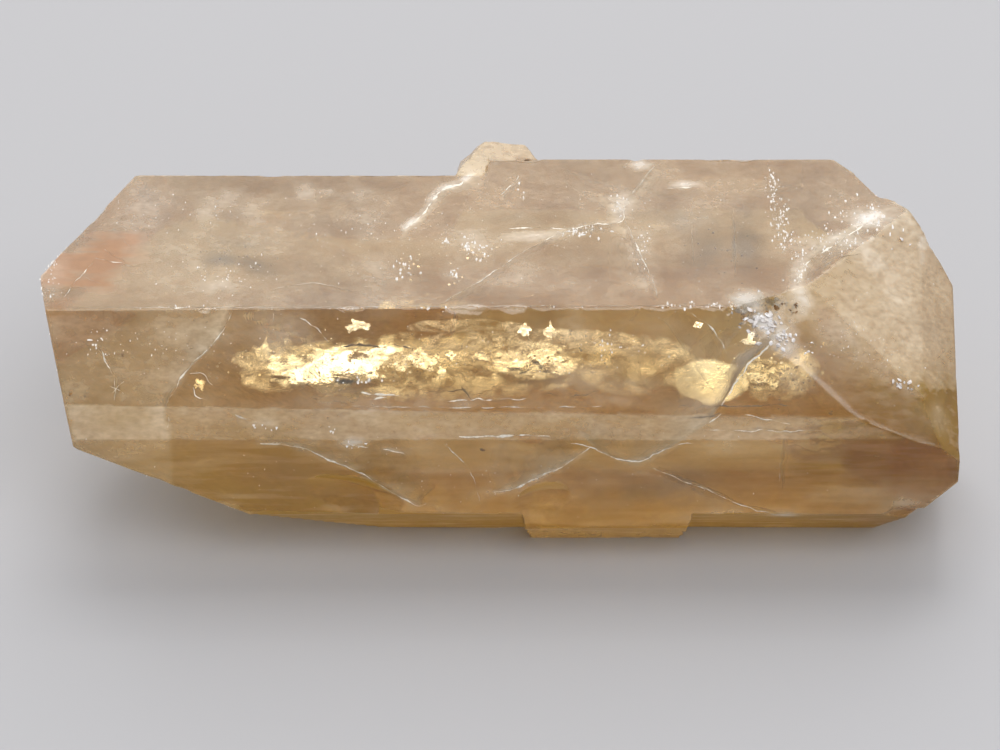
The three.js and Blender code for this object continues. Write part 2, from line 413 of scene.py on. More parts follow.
# fracture sheets: points along the visible edge, how far and where the sheet runs from it,
# bulge, strength of its edge line, strength of its body, width of the line at the surface
fractures = [
    # curved veil that closes the hazy left part
    ([(-9.6, -3.35, 10.1), (-9.7, -3.5, 9.95), (-10.1, -3.9, 9.37), (-11.0, -4.5, 8.6),
      (-11.5, -4.85, 8.1), (-11.85, -5.25, 7.6), (-11.95, -5.5, 7.1), (-11.8, -5.6, 6.7)],
     (-2.4, 1.8, -0.5), 0.3, 0.40, 0.40, 0.07),
    # small crossing cracks in that part
    ([(-14.4, -4.0, 9.2), (-14.0, -4.4, 8.8), (-13.7, -4.7, 8.3)],
     (0.2, 1.0, -0.5), 0.05, 0.5, 0.25, 0.05),
    ([(-13.66, -4.7, 8.3), (-13.7, -5.0, 8.0), (-13.77, -5.2, 7.7)],
     (0.3, 0.6, 0.2), 0.05, 0.4, 0.25, 0.05),
    # white streak on the top face
    (underTop([(-3.45, 1.25), (-2.75, 2.15), (-2.4, 2.9), (-2.0, 3.55), (-1.4, 3.85),
               (-1.05, 4.3)]),
     (0.25, -0.15, -0.35), 0.03, 1.1, 0.9, 0.16),
    (underTop([(0.1, 2.9), (0.45, 3.5), (0.85, 4.1)]), (0.1, 0.1, -0.5), 0.03, 0.6, 0.5, 0.08),
    # long oblique crack from the ridge to the middle of the top face
    (underTop([(-2.1, -3.0), (-0.45, -1.45), (1.1, 0.05), (2.65, 1.25)]),
     (0.9, 0.5, -2.4), 0.15, 0.40, 0.40, 0.07),
    # a film just under the top face, its white body partly a painted reflection of the light that
    # it flashes
    ([(0.3, 0.95, 10.1), (1.5, 1.05, 10.1), (2.7, 1.2, 10.1)],
     (0.3, -0.65, -0.12), 0.03, 0.8, 0.95, 0.10),
    (underTop([(2.7, 1.25), (3.7, 1.55), (4.45, 1.7), (4.6, 2.2), (4.45, 2.7), (4.05, 2.95)]),
     (-0.3, -0.2, -0.8), 0.05, 0.8, 0.6, 0.09),
    (underTop([(5.8, 4.85), (5.2, 3.8), (4.65, 2.7)]), (0.7, -0.2, -1.4), 0.1, 0.35, 0.35, 0.05),
    # crack down from the loop to the ridge, and on down inside the dome face
    (underTop([(4.6, 1.85), (5.1, 0.0), (5.5, -1.5), (5.75, -2.6)]),
     (-1.2, -0.2, -2.6), 0.3, 0.35, 0.40, 0.07),
    ([(5.75, -3.1, 9.9), (6.4, -3.7, 9.3), (7.2, -4.5, 8.4), (7.9, -5.1, 7.5)],
     (1.2, 2.0, -0.4), 0.2, 0.10, 0.12, 0.06),
    # upright cleavage planes under the right of the top face
    (underTop([(8.65, 2.6), (8.62, 1.0), (8.6, -1.1)]), (0.0, 0.2, -3.2), 0.02, 0.15, 0.35, 0.05),
    (underTop([(7.1, 1.6), (7.1, 0.5), (7.15, -0.7)]), (0.0, 0.2, -2.6), 0.02, 0.10, 0.25, 0.05),
    # white veil along the upper edge of the pale facet, with cracks beside it
    (underTop([(13.7, 2.0), (12.6, 1.1), (11.5, 0.1), (10.9, -0.9), (10.75, -1.9)]),
     (0.5, -0.7, -0.6), 0.05, 0.55, 0.8, 0.28),
    ([(13.4, 0.9, 9.9), (12.5, 0.2, 9.95), (11.6, -0.6, 10.0)],
     (-0.2, 0.3, -1.5), 0.05, 0.3, 0.45, 0.06),
    # big shell-shaped veil under the front, with its bright lower rim
    ([(2.6, -5.4, 6.9), (3.0, -5.6, 6.3), (3.7, -5.75, 5.66), (4.45, -5.75, 5.22),
      (5.15, -5.75, 5.17), (5.6, -5.75, 5.47), (6.5, -5.75, 6.06), (7.0, -5.6, 6.45),
      (7.45, -5.5, 6.75), (8.05, -5.1, 7.4), (9.0, -4.2, 8.6), (9.75, -3.8, 9.15),
      (10.5, -3.4, 9.7)],
     (-0.6, 1.9, 1.5), 0.5, 0.65, 0.36, 0.13),
    # shell-shaped veils low on the front, left and middle
    (behindFront([(-8.6, 6.15), (-7.5, 6.0), (-6.8, 5.7), (-6.05, 5.2), (-5.5, 4.9), (-4.8, 4.4),
                  (-3.8, 3.5), (-3.3, 3.25), (-2.9, 3.0), (-2.55, 3.1)]),
     (1.6, 2.0, 1.0), 0.35, 0.75, 0.42, 0.14),
    (behindFront([(-0.2, 3.7), (0.5, 3.75), (1.5, 4.4), (2.25, 4.9), (3.3, 5.85)]),
     (-1.5, 1.8, 1.0), 0.3, 0.75, 0.44, 0.14),
    (behindFront([(5.6, 4.8), (6.4, 4.4), (7.65, 3.75), (8.95, 2.95), (10.1, 2.5), (10.5, 2.2)]),
     (-0.4, 1.8, -1.2), 0.3, 0.35, 0.30, 0.06),
    # upright crack at the left of the deep golden block
    ([(10.3, -5.3, 6.6), (10.28, -5.7, 5.2), (10.3, -5.75, 3.7)],
     (0.3, 2.4, 0.1), 0.05, 0.2, 0.25, 0.05),
    # healed cracks and shell-shaped veils on the back
    ([(2.2, 6.2, 7.6), (4.2, 6.25, 5.6), (6.8, 6.25, 4.4), (9.6, 6.25, 4.6), (12.2, 6.2, 6.2)],
     (0.8, -2.4, -0.8), 0.35, 0.60, 0.30, 0.08),
    ([(-3.0, 5.25, 7.8), (-5.2, 5.3, 5.6), (-7.4, 5.3, 4.4), (-10.0, 5.25, 4.6)],
     (-0.6, -2.0, -0.6), 0.30, 0.60, 0.28, 0.08),
    ([(8.0, 6.25, 4.3), (8.6, 6.25, 3.4), (9.6, 6.2, 2.8)],
     (0.6, -1.6, 0.4), 0.10, 0.45, 0.25, 0.06),
]

# soft-edged places on the crystal: centre, radii, strength
surfacePlaces = {
    "milkAndHighlight": [
        ((-13.0, 1.9, top), (0.9, 1.3, 1.0), 0.35),
        ((-12.0, -0.9, top), (1.0, 1.6, 1.0), 0.14),
        ((-10.6, 2.3, top), (1.2, 1.0, 1.0), 0.14),
        ((-9.6, 1.2, top), (3.2, 2.2, 1.0), 0.07),
        ((-9.86, 2.95, top), (0.40, 0.45, 0.5), 0.28),
        ((-8.9, 2.2, top), (0.50, 0.70, 0.5), 0.16),
        ((-7.2, 3.1, top), (0.42, 0.60, 0.5), 0.32),
        ((-6.3, 3.3, top), (0.22, 0.20, 0.5), 0.35),
        ((-5.3, 3.0, top), (0.45, 0.55, 0.5), 0.36),
        ((-10.1, -2.2, top), (0.8, 0.40, 0.5), 0.30),
        ((-8.0, 0.9, top), (1.4, 0.7, 0.5), 0.10),
        ((0.0, -5.25, 7.55), (8.0, 0.4, 0.22), 0.16),
        ((-4.8, 1.2, top), (0.9, 1.1, 0.5), 0.16),
        ((-4.0, -1.0, top), (0.8, 1.0, 0.5), 0.14),
        ((-1.0, 0.5, top), (0.9, 0.8, 0.5), 0.22),
        ((-1.6, -1.6, top), (0.5, 0.5, 0.5), 0.22),
        ((0.6, -1.6, top), (1.2, 0.8, 0.5), 0.16),
        # a white wedge on the top face: partly a painted reflection of the light off the film under
        # it
        ((1.3, 0.75, top), (1.2, 0.32, 0.5), 0.42),
        ((2.6, -1.9, top), (1.4, 0.6, 0.5), 0.14),
        ((5.3, -0.6, top), (0.40, 1.6, 0.5), 0.26),
        ((6.9, 1.6, top), (1.2, 1.0, 0.5), 0.12),
        ((13.6, -1.0, 9.2), (1.9, 2.2, 1.4), 0.14),
        ((12.0, -3.2, 9.0), (1.0, 0.6, 0.8), 0.12),
        ((5.3, 4.9, top), (0.32, 0.25, 0.5), 0.80),
        # a white patch low on the front: a painted glint
        ((-5.2, -5.8, 6.2), (0.45, 0.30, 0.16), 0.55),
        ((-3.8, -5.8, 5.75), (0.40, 0.30, 0.10), 0.60),
        # a white patch low on the band: a painted glint
        ((-8.4, -5.8, 6.8), (0.50, 0.30, 0.20), 0.22),
        ((6.8, 3.6, top), (0.65, 0.18, 0.5), 0.55),
        ((4.6, 2.6, top), (0.35, 0.80, 0.5), 0.30),
        ((12.0, 0.1, top), (1.5, 0.5, 1.5), 0.35),
        ((13.4, 1.6, 9.9), (0.8, 0.6, 1.2), 0.60),
        ((15.2, 1.9, 9.3), (1.2, 1.0, 1.0), 0.50),
        ((9.0, -2.8, 10.2), (0.55, 0.45, 0.4), 1.00),
        ((9.5, -3.6, 9.8), (0.60, 0.40, 0.5), 1.00),
        ((10.3, -3.9, 9.3), (0.50, 0.40, 0.4), 0.70),
        ((10.6, -2.7, 10.0), (0.50, 0.45, 0.4), 0.35),
        ((10.9, -2.3, 10.1), (0.35, 0.45, 0.3), 0.45),
        ((16.1, -4.9, 6.9), (0.6, 0.5, 0.5), 0.45),
        ((15.1, -5.6, 3.0), (1.0, 0.8, 0.6), 0.35),
        ((10.5, -5.8, 2.2), (0.5, 0.4, 0.4), 0.70),
        ((-15.9, -1.2, 9.9), (0.5, 1.2, 0.8), 0.20),
        ((-9.4, -4.2, 8.8), (1.5, 0.9, 0.9), 0.12),
        ((6.5, 6.3, 5.2), (2.6, 0.8, 1.2), 0.22),
        ((12.0, 6.3, 4.0), (1.6, 0.8, 1.6), 0.16),
        ((-6.0, 5.3, 4.6), (2.0, 0.8, 1.6), 0.20),
        ((0.3, frontY, 4.9), (2.0, 0.8, 1.0), 0.09),
        ((-7.6, -4.4, 8.4), (1.4, 0.5, 0.5), 0.10),
        ((5.2, -4.2, 8.9), (1.6, 0.9, 0.9), 0.10),
        ((3.0, -4.9, 8.0), (2.4, 0.4, 0.4), 0.08),
    ],
    "honeyAndShade": [
        ((-10.0, -0.6, top), (0.7, 0.6, 0.5), 0.45),
        ((-8.6, -0.9, top), (0.7, 0.6, 0.5), 0.45),
        ((-9.4, 0.3, top), (1.6, 0.5, 0.5), 0.20),
        ((-5.2, -1.6, top), (2.2, 0.8, 0.5), 0.18),
        ((-12.6, -0.2, top), (0.6, 0.5, 0.5), 0.25),
        ((-2.6, -1.2, top), (0.6, 1.2, 0.5), 0.20),
        ((9.2, 0.4, top), (0.4, 1.8, 0.5), 0.30),
        ((-15.7, -3.05, 10.2), (0.45, 0.35, 0.45), 0.90),
        ((9.9, -2.85, 10.2), (0.45, 0.25, 0.3), 0.90),
        ((15.4, -3.9, 7.0), (1.6, 1.8, 0.55), 0.50),
        ((3.0, -1.0, top), (1.6, 1.0, 0.5), 0.15),
        ((11.0, 2.4, top), (1.3, 1.5, 0.5), 0.15),
        ((-7.0, frontY, 3.8), (2.8, 0.8, 1.5), 0.95),
        ((0.2, frontY, 4.6), (2.2, 0.8, 1.2), -0.22),
        ((14.2, -4.6, 7.0), (2.0, 1.6, 1.3), 0.35),
        ((13.4, frontY, 6.0), (1.6, 1.2, 1.4), 0.20),
        ((11.4, frontY, 4.6), (1.3, 0.8, 0.9), 0.40),
        ((5.6, frontY, 4.0), (3.2, 0.8, 1.2), -0.20),
        ((4.2, -4.2, 9.0), (1.4, 0.8, 1.0), 0.15),
        ((1.9, -3.5, 9.9), (0.8, 0.3, 0.4), 0.35),
        ((-15.2, -2.2, top), (0.5, 0.5, 0.6), 0.50),
    ],
    "clear": [
        ((-5.9, -4.3, 8.9), (3.6, 1.6, 1.5), 0.70),
        ((1.2, -4.1, 9.1), (2.2, 1.4, 1.2), 0.35),
        ((7.9, -4.4, 8.7), (1.7, 1.3, 1.3), 1.00),
        ((8.3, -3.8, 9.6), (1.2, 0.8, 0.8), 0.80),
        ((10.3, -4.6, 8.4), (1.3, 1.0, 1.0), 0.70),
    ],
    "smoke": [
        ((-13.0, 3.2, top), (0.35, 0.7, 0.5), 0.45),
        ((-10.1, -0.7, top), (0.60, 0.50, 0.5), 0.80),
        ((-8.7, -0.9, top), (0.70, 0.45, 0.5), 0.80),
        ((-9.4, 0.4, top), (0.90, 0.30, 0.5), 0.35),
        ((-6.5, -1.0, top), (1.2, 0.60, 0.5), 0.22),
        ((-14.6, -1.9, top), (0.5, 0.50, 0.5), 0.35),
        ((-12.2, 1.7, top), (0.35, 0.6, 0.5), 0.20),
        ((7.8, -0.3, top), (0.9, 1.1, 0.5), 0.80),
        ((6.7, 0.6, top), (1.6, 1.6, 0.5), 0.25),
        ((9.05, 0.5, top), (0.42, 1.7, 0.5), 0.95),
        ((7.2, 1.6, top), (1.2, 0.9, 0.5), 0.30),
        ((-6.6, frontY, 4.4), (2.6, 0.8, 1.1), 0.15),
        ((5.6, 2.6, top), (1.6, 1.0, 0.5), 0.22),
        ((1.6, 2.3, top), (2.4, 1.0, 0.5), 0.20),
        ((3.2, -0.4, top), (1.3, 0.8, 0.5), 0.16),
        ((11.0, 2.4, top), (1.0, 1.4, 0.5), 0.12),
        ((15.9, -1.7, 7.9), (0.6, 2.2, 1.2), 0.22),
        ((5.4, frontY, 3.9), (2.8, 0.8, 1.1), 1.00),
        ((1.9, -3.5, 9.9), (1.0, 0.3, 0.4), 0.45),
        ((8.6, -3.5, 9.8), (0.8, 0.6, 0.6), 0.30),
    ],
    "rust": [
        ((-15.8, -0.9, 10.1), (0.5, 0.8, 0.8), 0.75),
        ((-15.1, -0.3, 10.0), (1.5, 2.1, 1.3), 1.05),
        ((-14.2, -1.6, top), (0.9, 0.9, 0.6), 0.30),
        ((-13.4, 0.6, top), (0.7, 1.0, 0.5), 0.30),
        ((-12.9, -0.4, top), (0.5, 0.4, 0.5), 0.20),
        ((-15.8, -2.2, 8.9), (0.9, 1.3, 1.1), 0.75),
        ((-14.6, -4.0, 9.3), (0.9, 0.5, 0.7), 0.20),
        ((-13.2, -5.9, 6.6), (2.2, 0.8, 1.0), 0.10),
        ((13.6, 3.9, 10.1), (0.8, 0.7, 0.5), 0.30),
    ],
}

# how ragged the outlines of those places are, as a share of the middle one of their radii
raggedness = {"milkAndHighlight": 0.40, "honeyAndShade": 0.50, "smoke": 0.50, "rust": 0.45, "clear": 0.30}

# at the right end everything below this plane is clearer and deeper gold
goldSector = {
    "normal": (0.0, 0.669, 0.743),
    "offset": 2.54,
    "blur": 0.04,          # half width of its edge
    "fromX": 14.0,
    "comeIn": 0.5,         # it comes in over this length
    "haze": 0.08,          # haze taken away, and honey added
    "honeyAndShade": 0.16,
    "frostedHaze": 1.6,    # times as much of each on the frosted facets
    "frostedHoney": 4.5,
}


def placeMask(points, places, shift):
    # hills of strength x exp(-distance squared) round each place, measured in its own radii,
    # over points shifted by noise so that the outlines are ragged
    ragged = np.stack([roughNoise(points, 1.4, seed, 4) for seed in (101, 203, 307)], -1)
    total = np.zeros(points.shape[:-1])
    for centre, radii, strength in places:
        moved = points + shift * sorted(radii)[1] * ragged
        away = ((moved - np.array(centre)) / np.array(radii)) ** 2
        total += strength * np.exp(-away.sum(-1))
    return total


def smoothPath(points, count):
    # a curve through the points: cubic pieces whose slope at each point follows its neighbours
    points = np.array(points, dtype=float)
    spans = np.linalg.norm(np.diff(points, axis=0), axis=1)
    place = np.concatenate([[0], np.cumsum(spans)])
    slope = np.gradient(points, place, axis=0)
    t = np.linspace(0, place[-1], count)
    k = np.clip(np.searchsorted(place, t, side="right") - 1, 0, len(spans) - 1)
    h = spans[k][:, None]
    s = ((t - place[k]) / spans[k])[:, None]
    return ((1 + 2 * s) * (1 - s) ** 2 * points[k] + s * (1 - s) ** 2 * h * slope[k]
            + s * s * (3 - 2 * s) * points[k + 1] + s * s * (s - 1) * h * slope[k + 1])


def distanceToPath(points, path, run, reach):
    # shortest distance from every point to the pieces of a path, below zero on the side that
    # the run leads away from
    nearest = np.full(points.shape[:-1], reach)
    low, high = path.min(0) - reach, path.max(0) + reach
    close = ((points > low) & (points < high)).all(-1)
    inside = points[close]
    best, side = np.full(len(inside), np.inf), np.ones(len(inside))
    for start, end in zip(path[:-1], path[1:]):
        span = end - start
        share = np.clip((inside - start) @ span / (span @ span), 0, 1)
        away = inside - start - share[:, None] * span
        distance = np.linalg.norm(away, axis=1)
        side = np.where(distance < best, np.where(away @ run < 0, -1, 1), side)
        best = np.minimum(best, distance)
    nearest[close] = best * side
    return nearest


# noises over the surface: cell in mm, seed, octaves, and squeeze along each axis
surfaceNoises = {
    "cloud": (3.2, 41, 3, (1, 1, 1)),
    "fine": (0.9, 61, 4, (1, 1, 1)),
    "mottle": (1.2, 47, 5, (0.45, 1, 1)),
    "rays": (0.8, 53, 4, (0.3, 1.3, 1.3)),
}

# how strongly those noises break up the places, and the pale zones along the fractures
brokenUp = {
    "milkFine": 0.4,
    "milkMottle": 0.3,
    "smokeMottle": 0.7,
    "rustRays": 1.4,
    "paleMottle": 0.6,
}

# what the hazy left zone and the noises add to the looks of the faces
faceShares = {
    "zoneHaze": 0.15,      # the left zone on the dome, band and front
    "zoneHoney": 0.10,
    "zoneFrost": 0.08,
    "zoneBleach": 0.20,    # honey that it takes from the band and front
    "mottleHaze": 0.11,
    "domeMottle": 0.22,    # honey that the mottle moves
    "lowMottle": 0.20,
    "topMottle": 0.14,
    "topHaze": 0.06,       # cloud and fine noise on the top face
    "topStreaks": 0.05,
    "fineHaze": 0.05,
    "clearBelow": 0.12,    # faces with less haze than this get less of the fine noise
    "cloudHoney": 0.06,
    "fineFrost": 0.05,
    "bevelHoney": 0.40,
    "bevelWidth": 1.1,     # the bevel is like the front at its lower edge, over this width
}

# what the fractures leave on the surface
crackMarks = {
    "line": 0.6,
    "ragged": 0.05,
    "reach": 2.5,          # no mark further away than this
    "nearest": 0.2,        # how far a pale zone reaches, and more for a bulging veil
    "perBulge": 1.2,
    "paleHaze": 0.6,
    "paleHoney": 0.25,
}


def isOn(label, *names):
    # where the surface belongs to one of the named growth faces
    return np.isin(label, [list(growthFaces).index(name) for name in names])


def leftZone(points):
    # 1 to the left of the first fracture, whose x at each height closes the zone
    edge = np.array(fractures[0][0])[::-1]
    beyond = points[..., 0] - np.interp(points[..., 2], edge[:, 2], edge[:, 0])
    return smoothStep(0.05, -0.05, beyond)


def faceLooks(points, label, noise):
    # haze, frost and honey of each face, plus shares of the left zone and the noises, changed
    # in the golden sector, and on the bevel blended into the front's
    f, g = faceShares, goldSector
    cloud, fine, mottle = noise["cloud"], noise["fine"], noise["mottle"]
    looks = [face[3:] for face in growthFaces.values()]
    looks = np.array(looks + [otherLooks[other] for other in sorted(otherLooks)])
    behind = ((label == inBreak) & (points[..., 1] > 0))[..., None]
    looks = np.where(behind, growthFaces["back"][3:], looks[label])
    haze, frost, honeyAndShade = np.moveaxis(looks, -1, 0)
    isTop, isDome, isLow = isOn(label, "top"), isOn(label, "dome"), isOn(label, "front", "band")
    isFrosted = isOn(label, "facet", "strip", "end")
    zone = leftZone(points)
    streaky = f["zoneHaze"] * zone + f["mottleHaze"] * np.clip(mottle, -0.2, 1.2)
    haze = haze + np.where(isDome | isLow, streaky, 0)
    onTop = f["topHaze"] * (cloud + fine) + f["topStreaks"] * mottle
    elsewhere = f["fineHaze"] * fine * np.clip(haze / f["clearBelow"], 0, 1)
    haze = haze + np.where(isTop, onTop, elsewhere)
    onTop = f["topMottle"] * np.clip(-mottle, 0, 1)
    honeyAndShade = honeyAndShade + np.where(isTop, onTop, f["cloudHoney"] * cloud)
    honeyAndShade = honeyAndShade + np.where(isDome, f["zoneHoney"] * zone - f["domeMottle"] * mottle, 0)
    honeyAndShade = honeyAndShade - np.where(isLow, f["zoneBleach"] * zone + f["lowMottle"] * mottle, 0)
    frost = frost + np.where(isDome, f["zoneFrost"] * zone, 0) + f["fineFrost"] * fine
    sector = smoothStep(g["blur"], -g["blur"], points @ np.array(g["normal"]) - g["offset"])
    sector = sector * smoothStep(0, g["comeIn"], points[..., 0] - g["fromX"])
    haze = haze - g["haze"] * sector * np.where(isFrosted, g["frostedHaze"], 1)
    honeyAndShade = honeyAndShade + g["honeyAndShade"] * sector * np.where(isFrosted, g["frostedHoney"], 1)
    below = [list(growthFaces).index(name) for name in ("dome", "band", "front")]
    inward = (offsets[below] - points @ normals[below].T).min(-1)
    blend = np.where(isOn(label, "bevel"), 1 - smoothStep(0, f["bevelWidth"], inward), 0)
    haze = haze + blend * (growthFaces["front"][3] - haze)
    frost = frost + blend * (growthFaces["front"][4] - frost)
    honeyAndShade = honeyAndShade + blend * (f["bevelHoney"] - honeyAndShade)
    return haze, frost, honeyAndShade


def fractureMarks(points, milkAndHighlight, fine):
    # white lines of exp(-(distance / width) squared) where the fractures meet the surface, and
    # pale zones that fade away exponentially on the side that each one runs to
    m = crackMarks
    pale = np.zeros(milkAndHighlight.shape)
    ragged = np.stack([roughNoise(points, 0.5, seed, 3) for seed in (411, 433, 457)], -1)
    shifted = points + m["ragged"] * ragged
    for edge, run, bulge, line, veil, width in fractures:
        away = distanceToPath(shifted, smoothPath(edge, 24), np.array(run), m["reach"])
        drawn = m["line"] * line * np.exp(-(away / width) ** 2)
        milkAndHighlight = milkAndHighlight + drawn * np.clip(0.8 + 0.8 * fine, 0.1, 1.5)
        fading = np.exp(-np.abs(away) / (m["nearest"] + m["perBulge"] * bulge))
        pale = pale + veil * smoothStep(-0.02, 0.06, away) * fading
    return milkAndHighlight, pale


def surfaceMasks(points, label, bruiseAndSheen):
    # haze: how milky; frost: roughness; honey, smoke, rust and clear: tints, the honey on the low
    # front faces partly painted shade; milk: white bruises and clouds, and painted highlights
    # and glints
    noise = {name: roughNoise(points * np.array(squeeze), cell, seed, octaves)
             for name, (cell, seed, octaves, squeeze) in surfaceNoises.items()}
    cloud, fine, mottle, rays = (noise[name] for name in ("cloud", "fine", "mottle", "rays"))
    place = {name: placeMask(points, surfacePlaces[name], shift)
             for name, shift in raggedness.items()}
    u = brokenUp
    haze, frost, honeyAndShade = faceLooks(points, label, noise)
    milkAndHighlight = place["milkAndHighlight"] * np.clip(1 + u["milkFine"] * fine + u["milkMottle"] * mottle, 0, 2)
    # bruised edges high up turn white: real bruising, and a painted highlight where the upper edges
    # catch the light
    milkAndHighlight = milkAndHighlight + bruiseAndSheen * smoothStep(8.6, 9.8, points[..., 2])
    milkAndHighlight, pale = fractureMarks(points, milkAndHighlight, fine)
    haze = haze + crackMarks["paleHaze"] * pale * np.clip(0.8 + u["paleMottle"] * mottle, 0, 2)
    smoke = place["smoke"] * np.clip(1 - u["smokeMottle"] * mottle, 0, 2)
    smoke = smoke + np.where(isOn(label, "top"), 0.10 * np.clip(cloud - mottle, 0, 1), 0)
    masks = {
        "haze": haze,
        "honeyAndShade": honeyAndShade - crackMarks["paleHoney"] * pale + place["honeyAndShade"],
        "rust": place["rust"] * np.clip(0.9 + u["rustRays"] * rays, 0.1, 1.9),
        "milkAndHighlight": milkAndHighlight,
        "smoke": smoke,
        "clear": place["clear"],
    }
    masks = {name: np.clip(values, 0, 1) for name, values in masks.items()}
    return {**masks, "frost": np.clip(frost, 0.02, 0.9)}


edgeWear = {
    "width": 0.05,         # rounding of an unhurt edge
    "depth": 0.42,         # how much wider it gets where the edge is bruised
    "threshold": 0.45,     # how much of the edges is bruised
    "wave": 0.006,         # height of the faint wave and grain of the faces
    "grain": 0.0012,
    "brokenPatch": (9.35, -3.5, 10.0),     # the crumbled spot on the ridge
    "brokenRadius": 1.0,
    "brokenDepth": 0.16,
    "bruiseAndSheenMilk": 0.35,    # whiteness of a bruised edge, high up also a painted highlight
    "lumpRelief": 0.07,    # roughness of the lump's faces
}


# noises of the crystal's shape: cell in mm, seed and octaves
bodyNoises = {
    "wear": (1.3, 11, 4),
    "crumble": (0.55, 71, 3),
    "wave": (2.2, 31, 3),
    "grain": (0.3, 37, 2),
    "lump": (0.7, 83, 4),
}


def crystalBody():
    # distance along the rays, less a rounded and here and there bruised strip beside every
    # edge, plus a faint wave and grain
    w, n = edgeWear, bodyNoises
    origin, direction = rayField()
    first, second, label = crystalReach(origin, direction)
    points = origin + direction * first[..., None]
    snapped, onEdge, label = snapToEdges(points, label)
    worn = np.maximum(roughNoise(points, *n["wear"]) - w["threshold"], 0)
    width = w["width"] + w["depth"] * worn
    gap = np.where(onEdge, 0, second - first)
    share = np.maximum(1 - gap / width, 0) ** 2
    # the worn strip that is whitened later: real bruising, and high up a painted highlight
    bruisedAndLitEdge = share * smoothStep(0.06, 0.2, width)
    away = ((points - np.array(w["brokenPatch"])) ** 2).sum(-1) / w["brokenRadius"] ** 2
    crumble = w["brokenDepth"] * np.exp(-away) * roughNoise(points, *n["crumble"])
    wave = w["wave"] * roughNoise(points, *n["wave"]) + w["grain"] * roughNoise(points, *n["grain"])
    points = snapped + direction * (wave + crumble - width * share / 4)[..., None]
    lumpy = np.where(label == onLump, w["lumpRelief"] * roughNoise(points, *n["lump"]), 0)
    points = points + direction * lumpy[..., None]
    points[..., 2] = np.maximum(points[..., 2], 0.0)
    tips = []
    for sign, axis in ((-1, rayGrid["leftAxis"]), (1, rayGrid["rightAxis"])):
        o = np.array([[[sign * rayGrid["endX"], *axis]]])
        d = np.array([[[float(sign), 0.0, 0.0]]])
        tips.append((o + d * crystalReach(o, d)[0][..., None])[0, 0])
    masks = surfaceMasks(points, label, w["bruiseAndSheenMilk"] * bruisedAndLitEdge)
    vertices, faces = closedTube(points, *tips)
    masks = {name: np.append(values.ravel(), [values[0, 0], values[-1, 0]])
             for name, values in masks.items()}
    return meshFrom("crystal", vertices, faces, 22, masks)


def plug(tree, socket, value):
    # a number, a colour or another node's socket goes into an input
    if isinstance(value, bpy.types.NodeSocket):
        tree.links.new(value, socket)
    elif isinstance(value, tuple) and len(value) == 3 and socket.type == "RGBA":
        socket.default_value = (*value, 1)
    else:
        socket.default_value = value


def newMaterial(name):
    # a material with nothing but a shader and its output
    material = bpy.data.materials.new(name)
    material.use_nodes = True
    tree = material.node_tree
    tree.nodes.clear()
    out = tree.nodes.new("ShaderNodeOutputMaterial")
    shader = tree.nodes.new("ShaderNodeBsdfPrincipled")
    tree.links.new(shader.outputs[0], out.inputs["Surface"])
    return material, tree, shader


def setShader(tree, shader, **values):
    # inputs by name, with _ for a space
    for name, value in values.items():
        plug(tree, shader.inputs[name.replace("_", " ")], value)


def maskNode(tree, name):
    # the number that each vertex of the mesh holds for this mask
    node = tree.nodes.new("ShaderNodeAttribute")
    node.attribute_name = name
    return node.outputs["Fac"]


def noiseNode(tree, perMm, detail, squeeze=(1, 1, 1)):
    # noise on object coordinates with about perMm features to the millimetre, fewer along an
    # axis whose squeeze is below 1
    place = tree.nodes.new("ShaderNodeTexCoord")
    mapping = tree.nodes.new("ShaderNodeMapping")
    mapping.inputs["Scale"].default_value = squeeze
    tree.links.new(place.outputs["Object"], mapping.inputs["Vector"])
    node = tree.nodes.new("ShaderNodeTexNoise")
    node.inputs["Scale"].default_value = perMm / mm
    node.inputs["Detail"].default_value = detail
    tree.links.new(mapping.outputs["Vector"], node.inputs["Vector"])
    return node.outputs["Fac"]


def mathNode(tree, operation, first, second=0.0, clamp=False):
    # first operation second, held between 0 and 1 by the clamp
    node = tree.nodes.new("ShaderNodeMath")
    node.operation = operation
    node.use_clamp = clamp
    plug(tree, node.inputs[0], first)
    plug(tree, node.inputs[1], second)
    return node.outputs[0]


def rangeNode(tree, value, fromLow, fromHigh, low, high):
    # low where the value is fromLow, high where it is fromHigh, straight between
    node = tree.nodes.new("ShaderNodeMapRange")
    plug(tree, node.inputs["Value"], value)
    numbers = {"From Min": fromLow, "From Max": fromHigh, "To Min": low, "To Max": high}
    for name, number in numbers.items():
        node.inputs[name].default_value = number
    return node.outputs["Result"]


def variedNode(tree, value, noise, spread, low, high, clamp=True):
    # a value times low to high, as a noise runs from spread below to spread above its middle
    share = rangeNode(tree, noise, 0.5 - spread, 0.5 + spread, low, high)
    return mathNode(tree, "MULTIPLY", value, share, clamp)


def mixNode(tree, share, first, second):
    # first x (1 - share) + second x share
    node = tree.nodes.new("ShaderNodeMix")
    node.data_type = "RGBA"
    plug(tree, node.inputs["Factor"], share)
    plug(tree, node.inputs[6], first)
    plug(tree, node.inputs[7], second)
    return node.outputs[2]


bariteLook = {
    "cream": (0.92, 0.74, 0.50),   # the surface's own tint, then that of each mask
    # honey also gives painted shade on the low front faces, milk painted highlights and glints
    "honeyAndShade": (0.46, 0.29, 0.04),
    "rust": (0.55, 0.27, 0.10),
    "milkAndHighlight": (0.93, 0.89, 0.84),
    "smoke": (0.46, 0.42, 0.36),
    "clear": (0.98, 0.94, 0.86),
    "index": 1.64,
    "absorbColour": (0.96, 0.77, 0.04),
    "absorbDensity": 100,          # per metre
    "grainPerMm": 5.5,     # patches of haze, milk and frost, drawn out a little along the prism
    "grainSqueeze": (0.6, 1, 1),
    "streaksPerMm": 3.5,   # growth streaks of honey along the prism
    "streakSqueeze": (0.12, 1, 1),
    "milkHaze": 0.7,       # how milky and rough the white places and the rust are
    "rustHaze": 0.38,
    "milkFrost": 0.3,
}


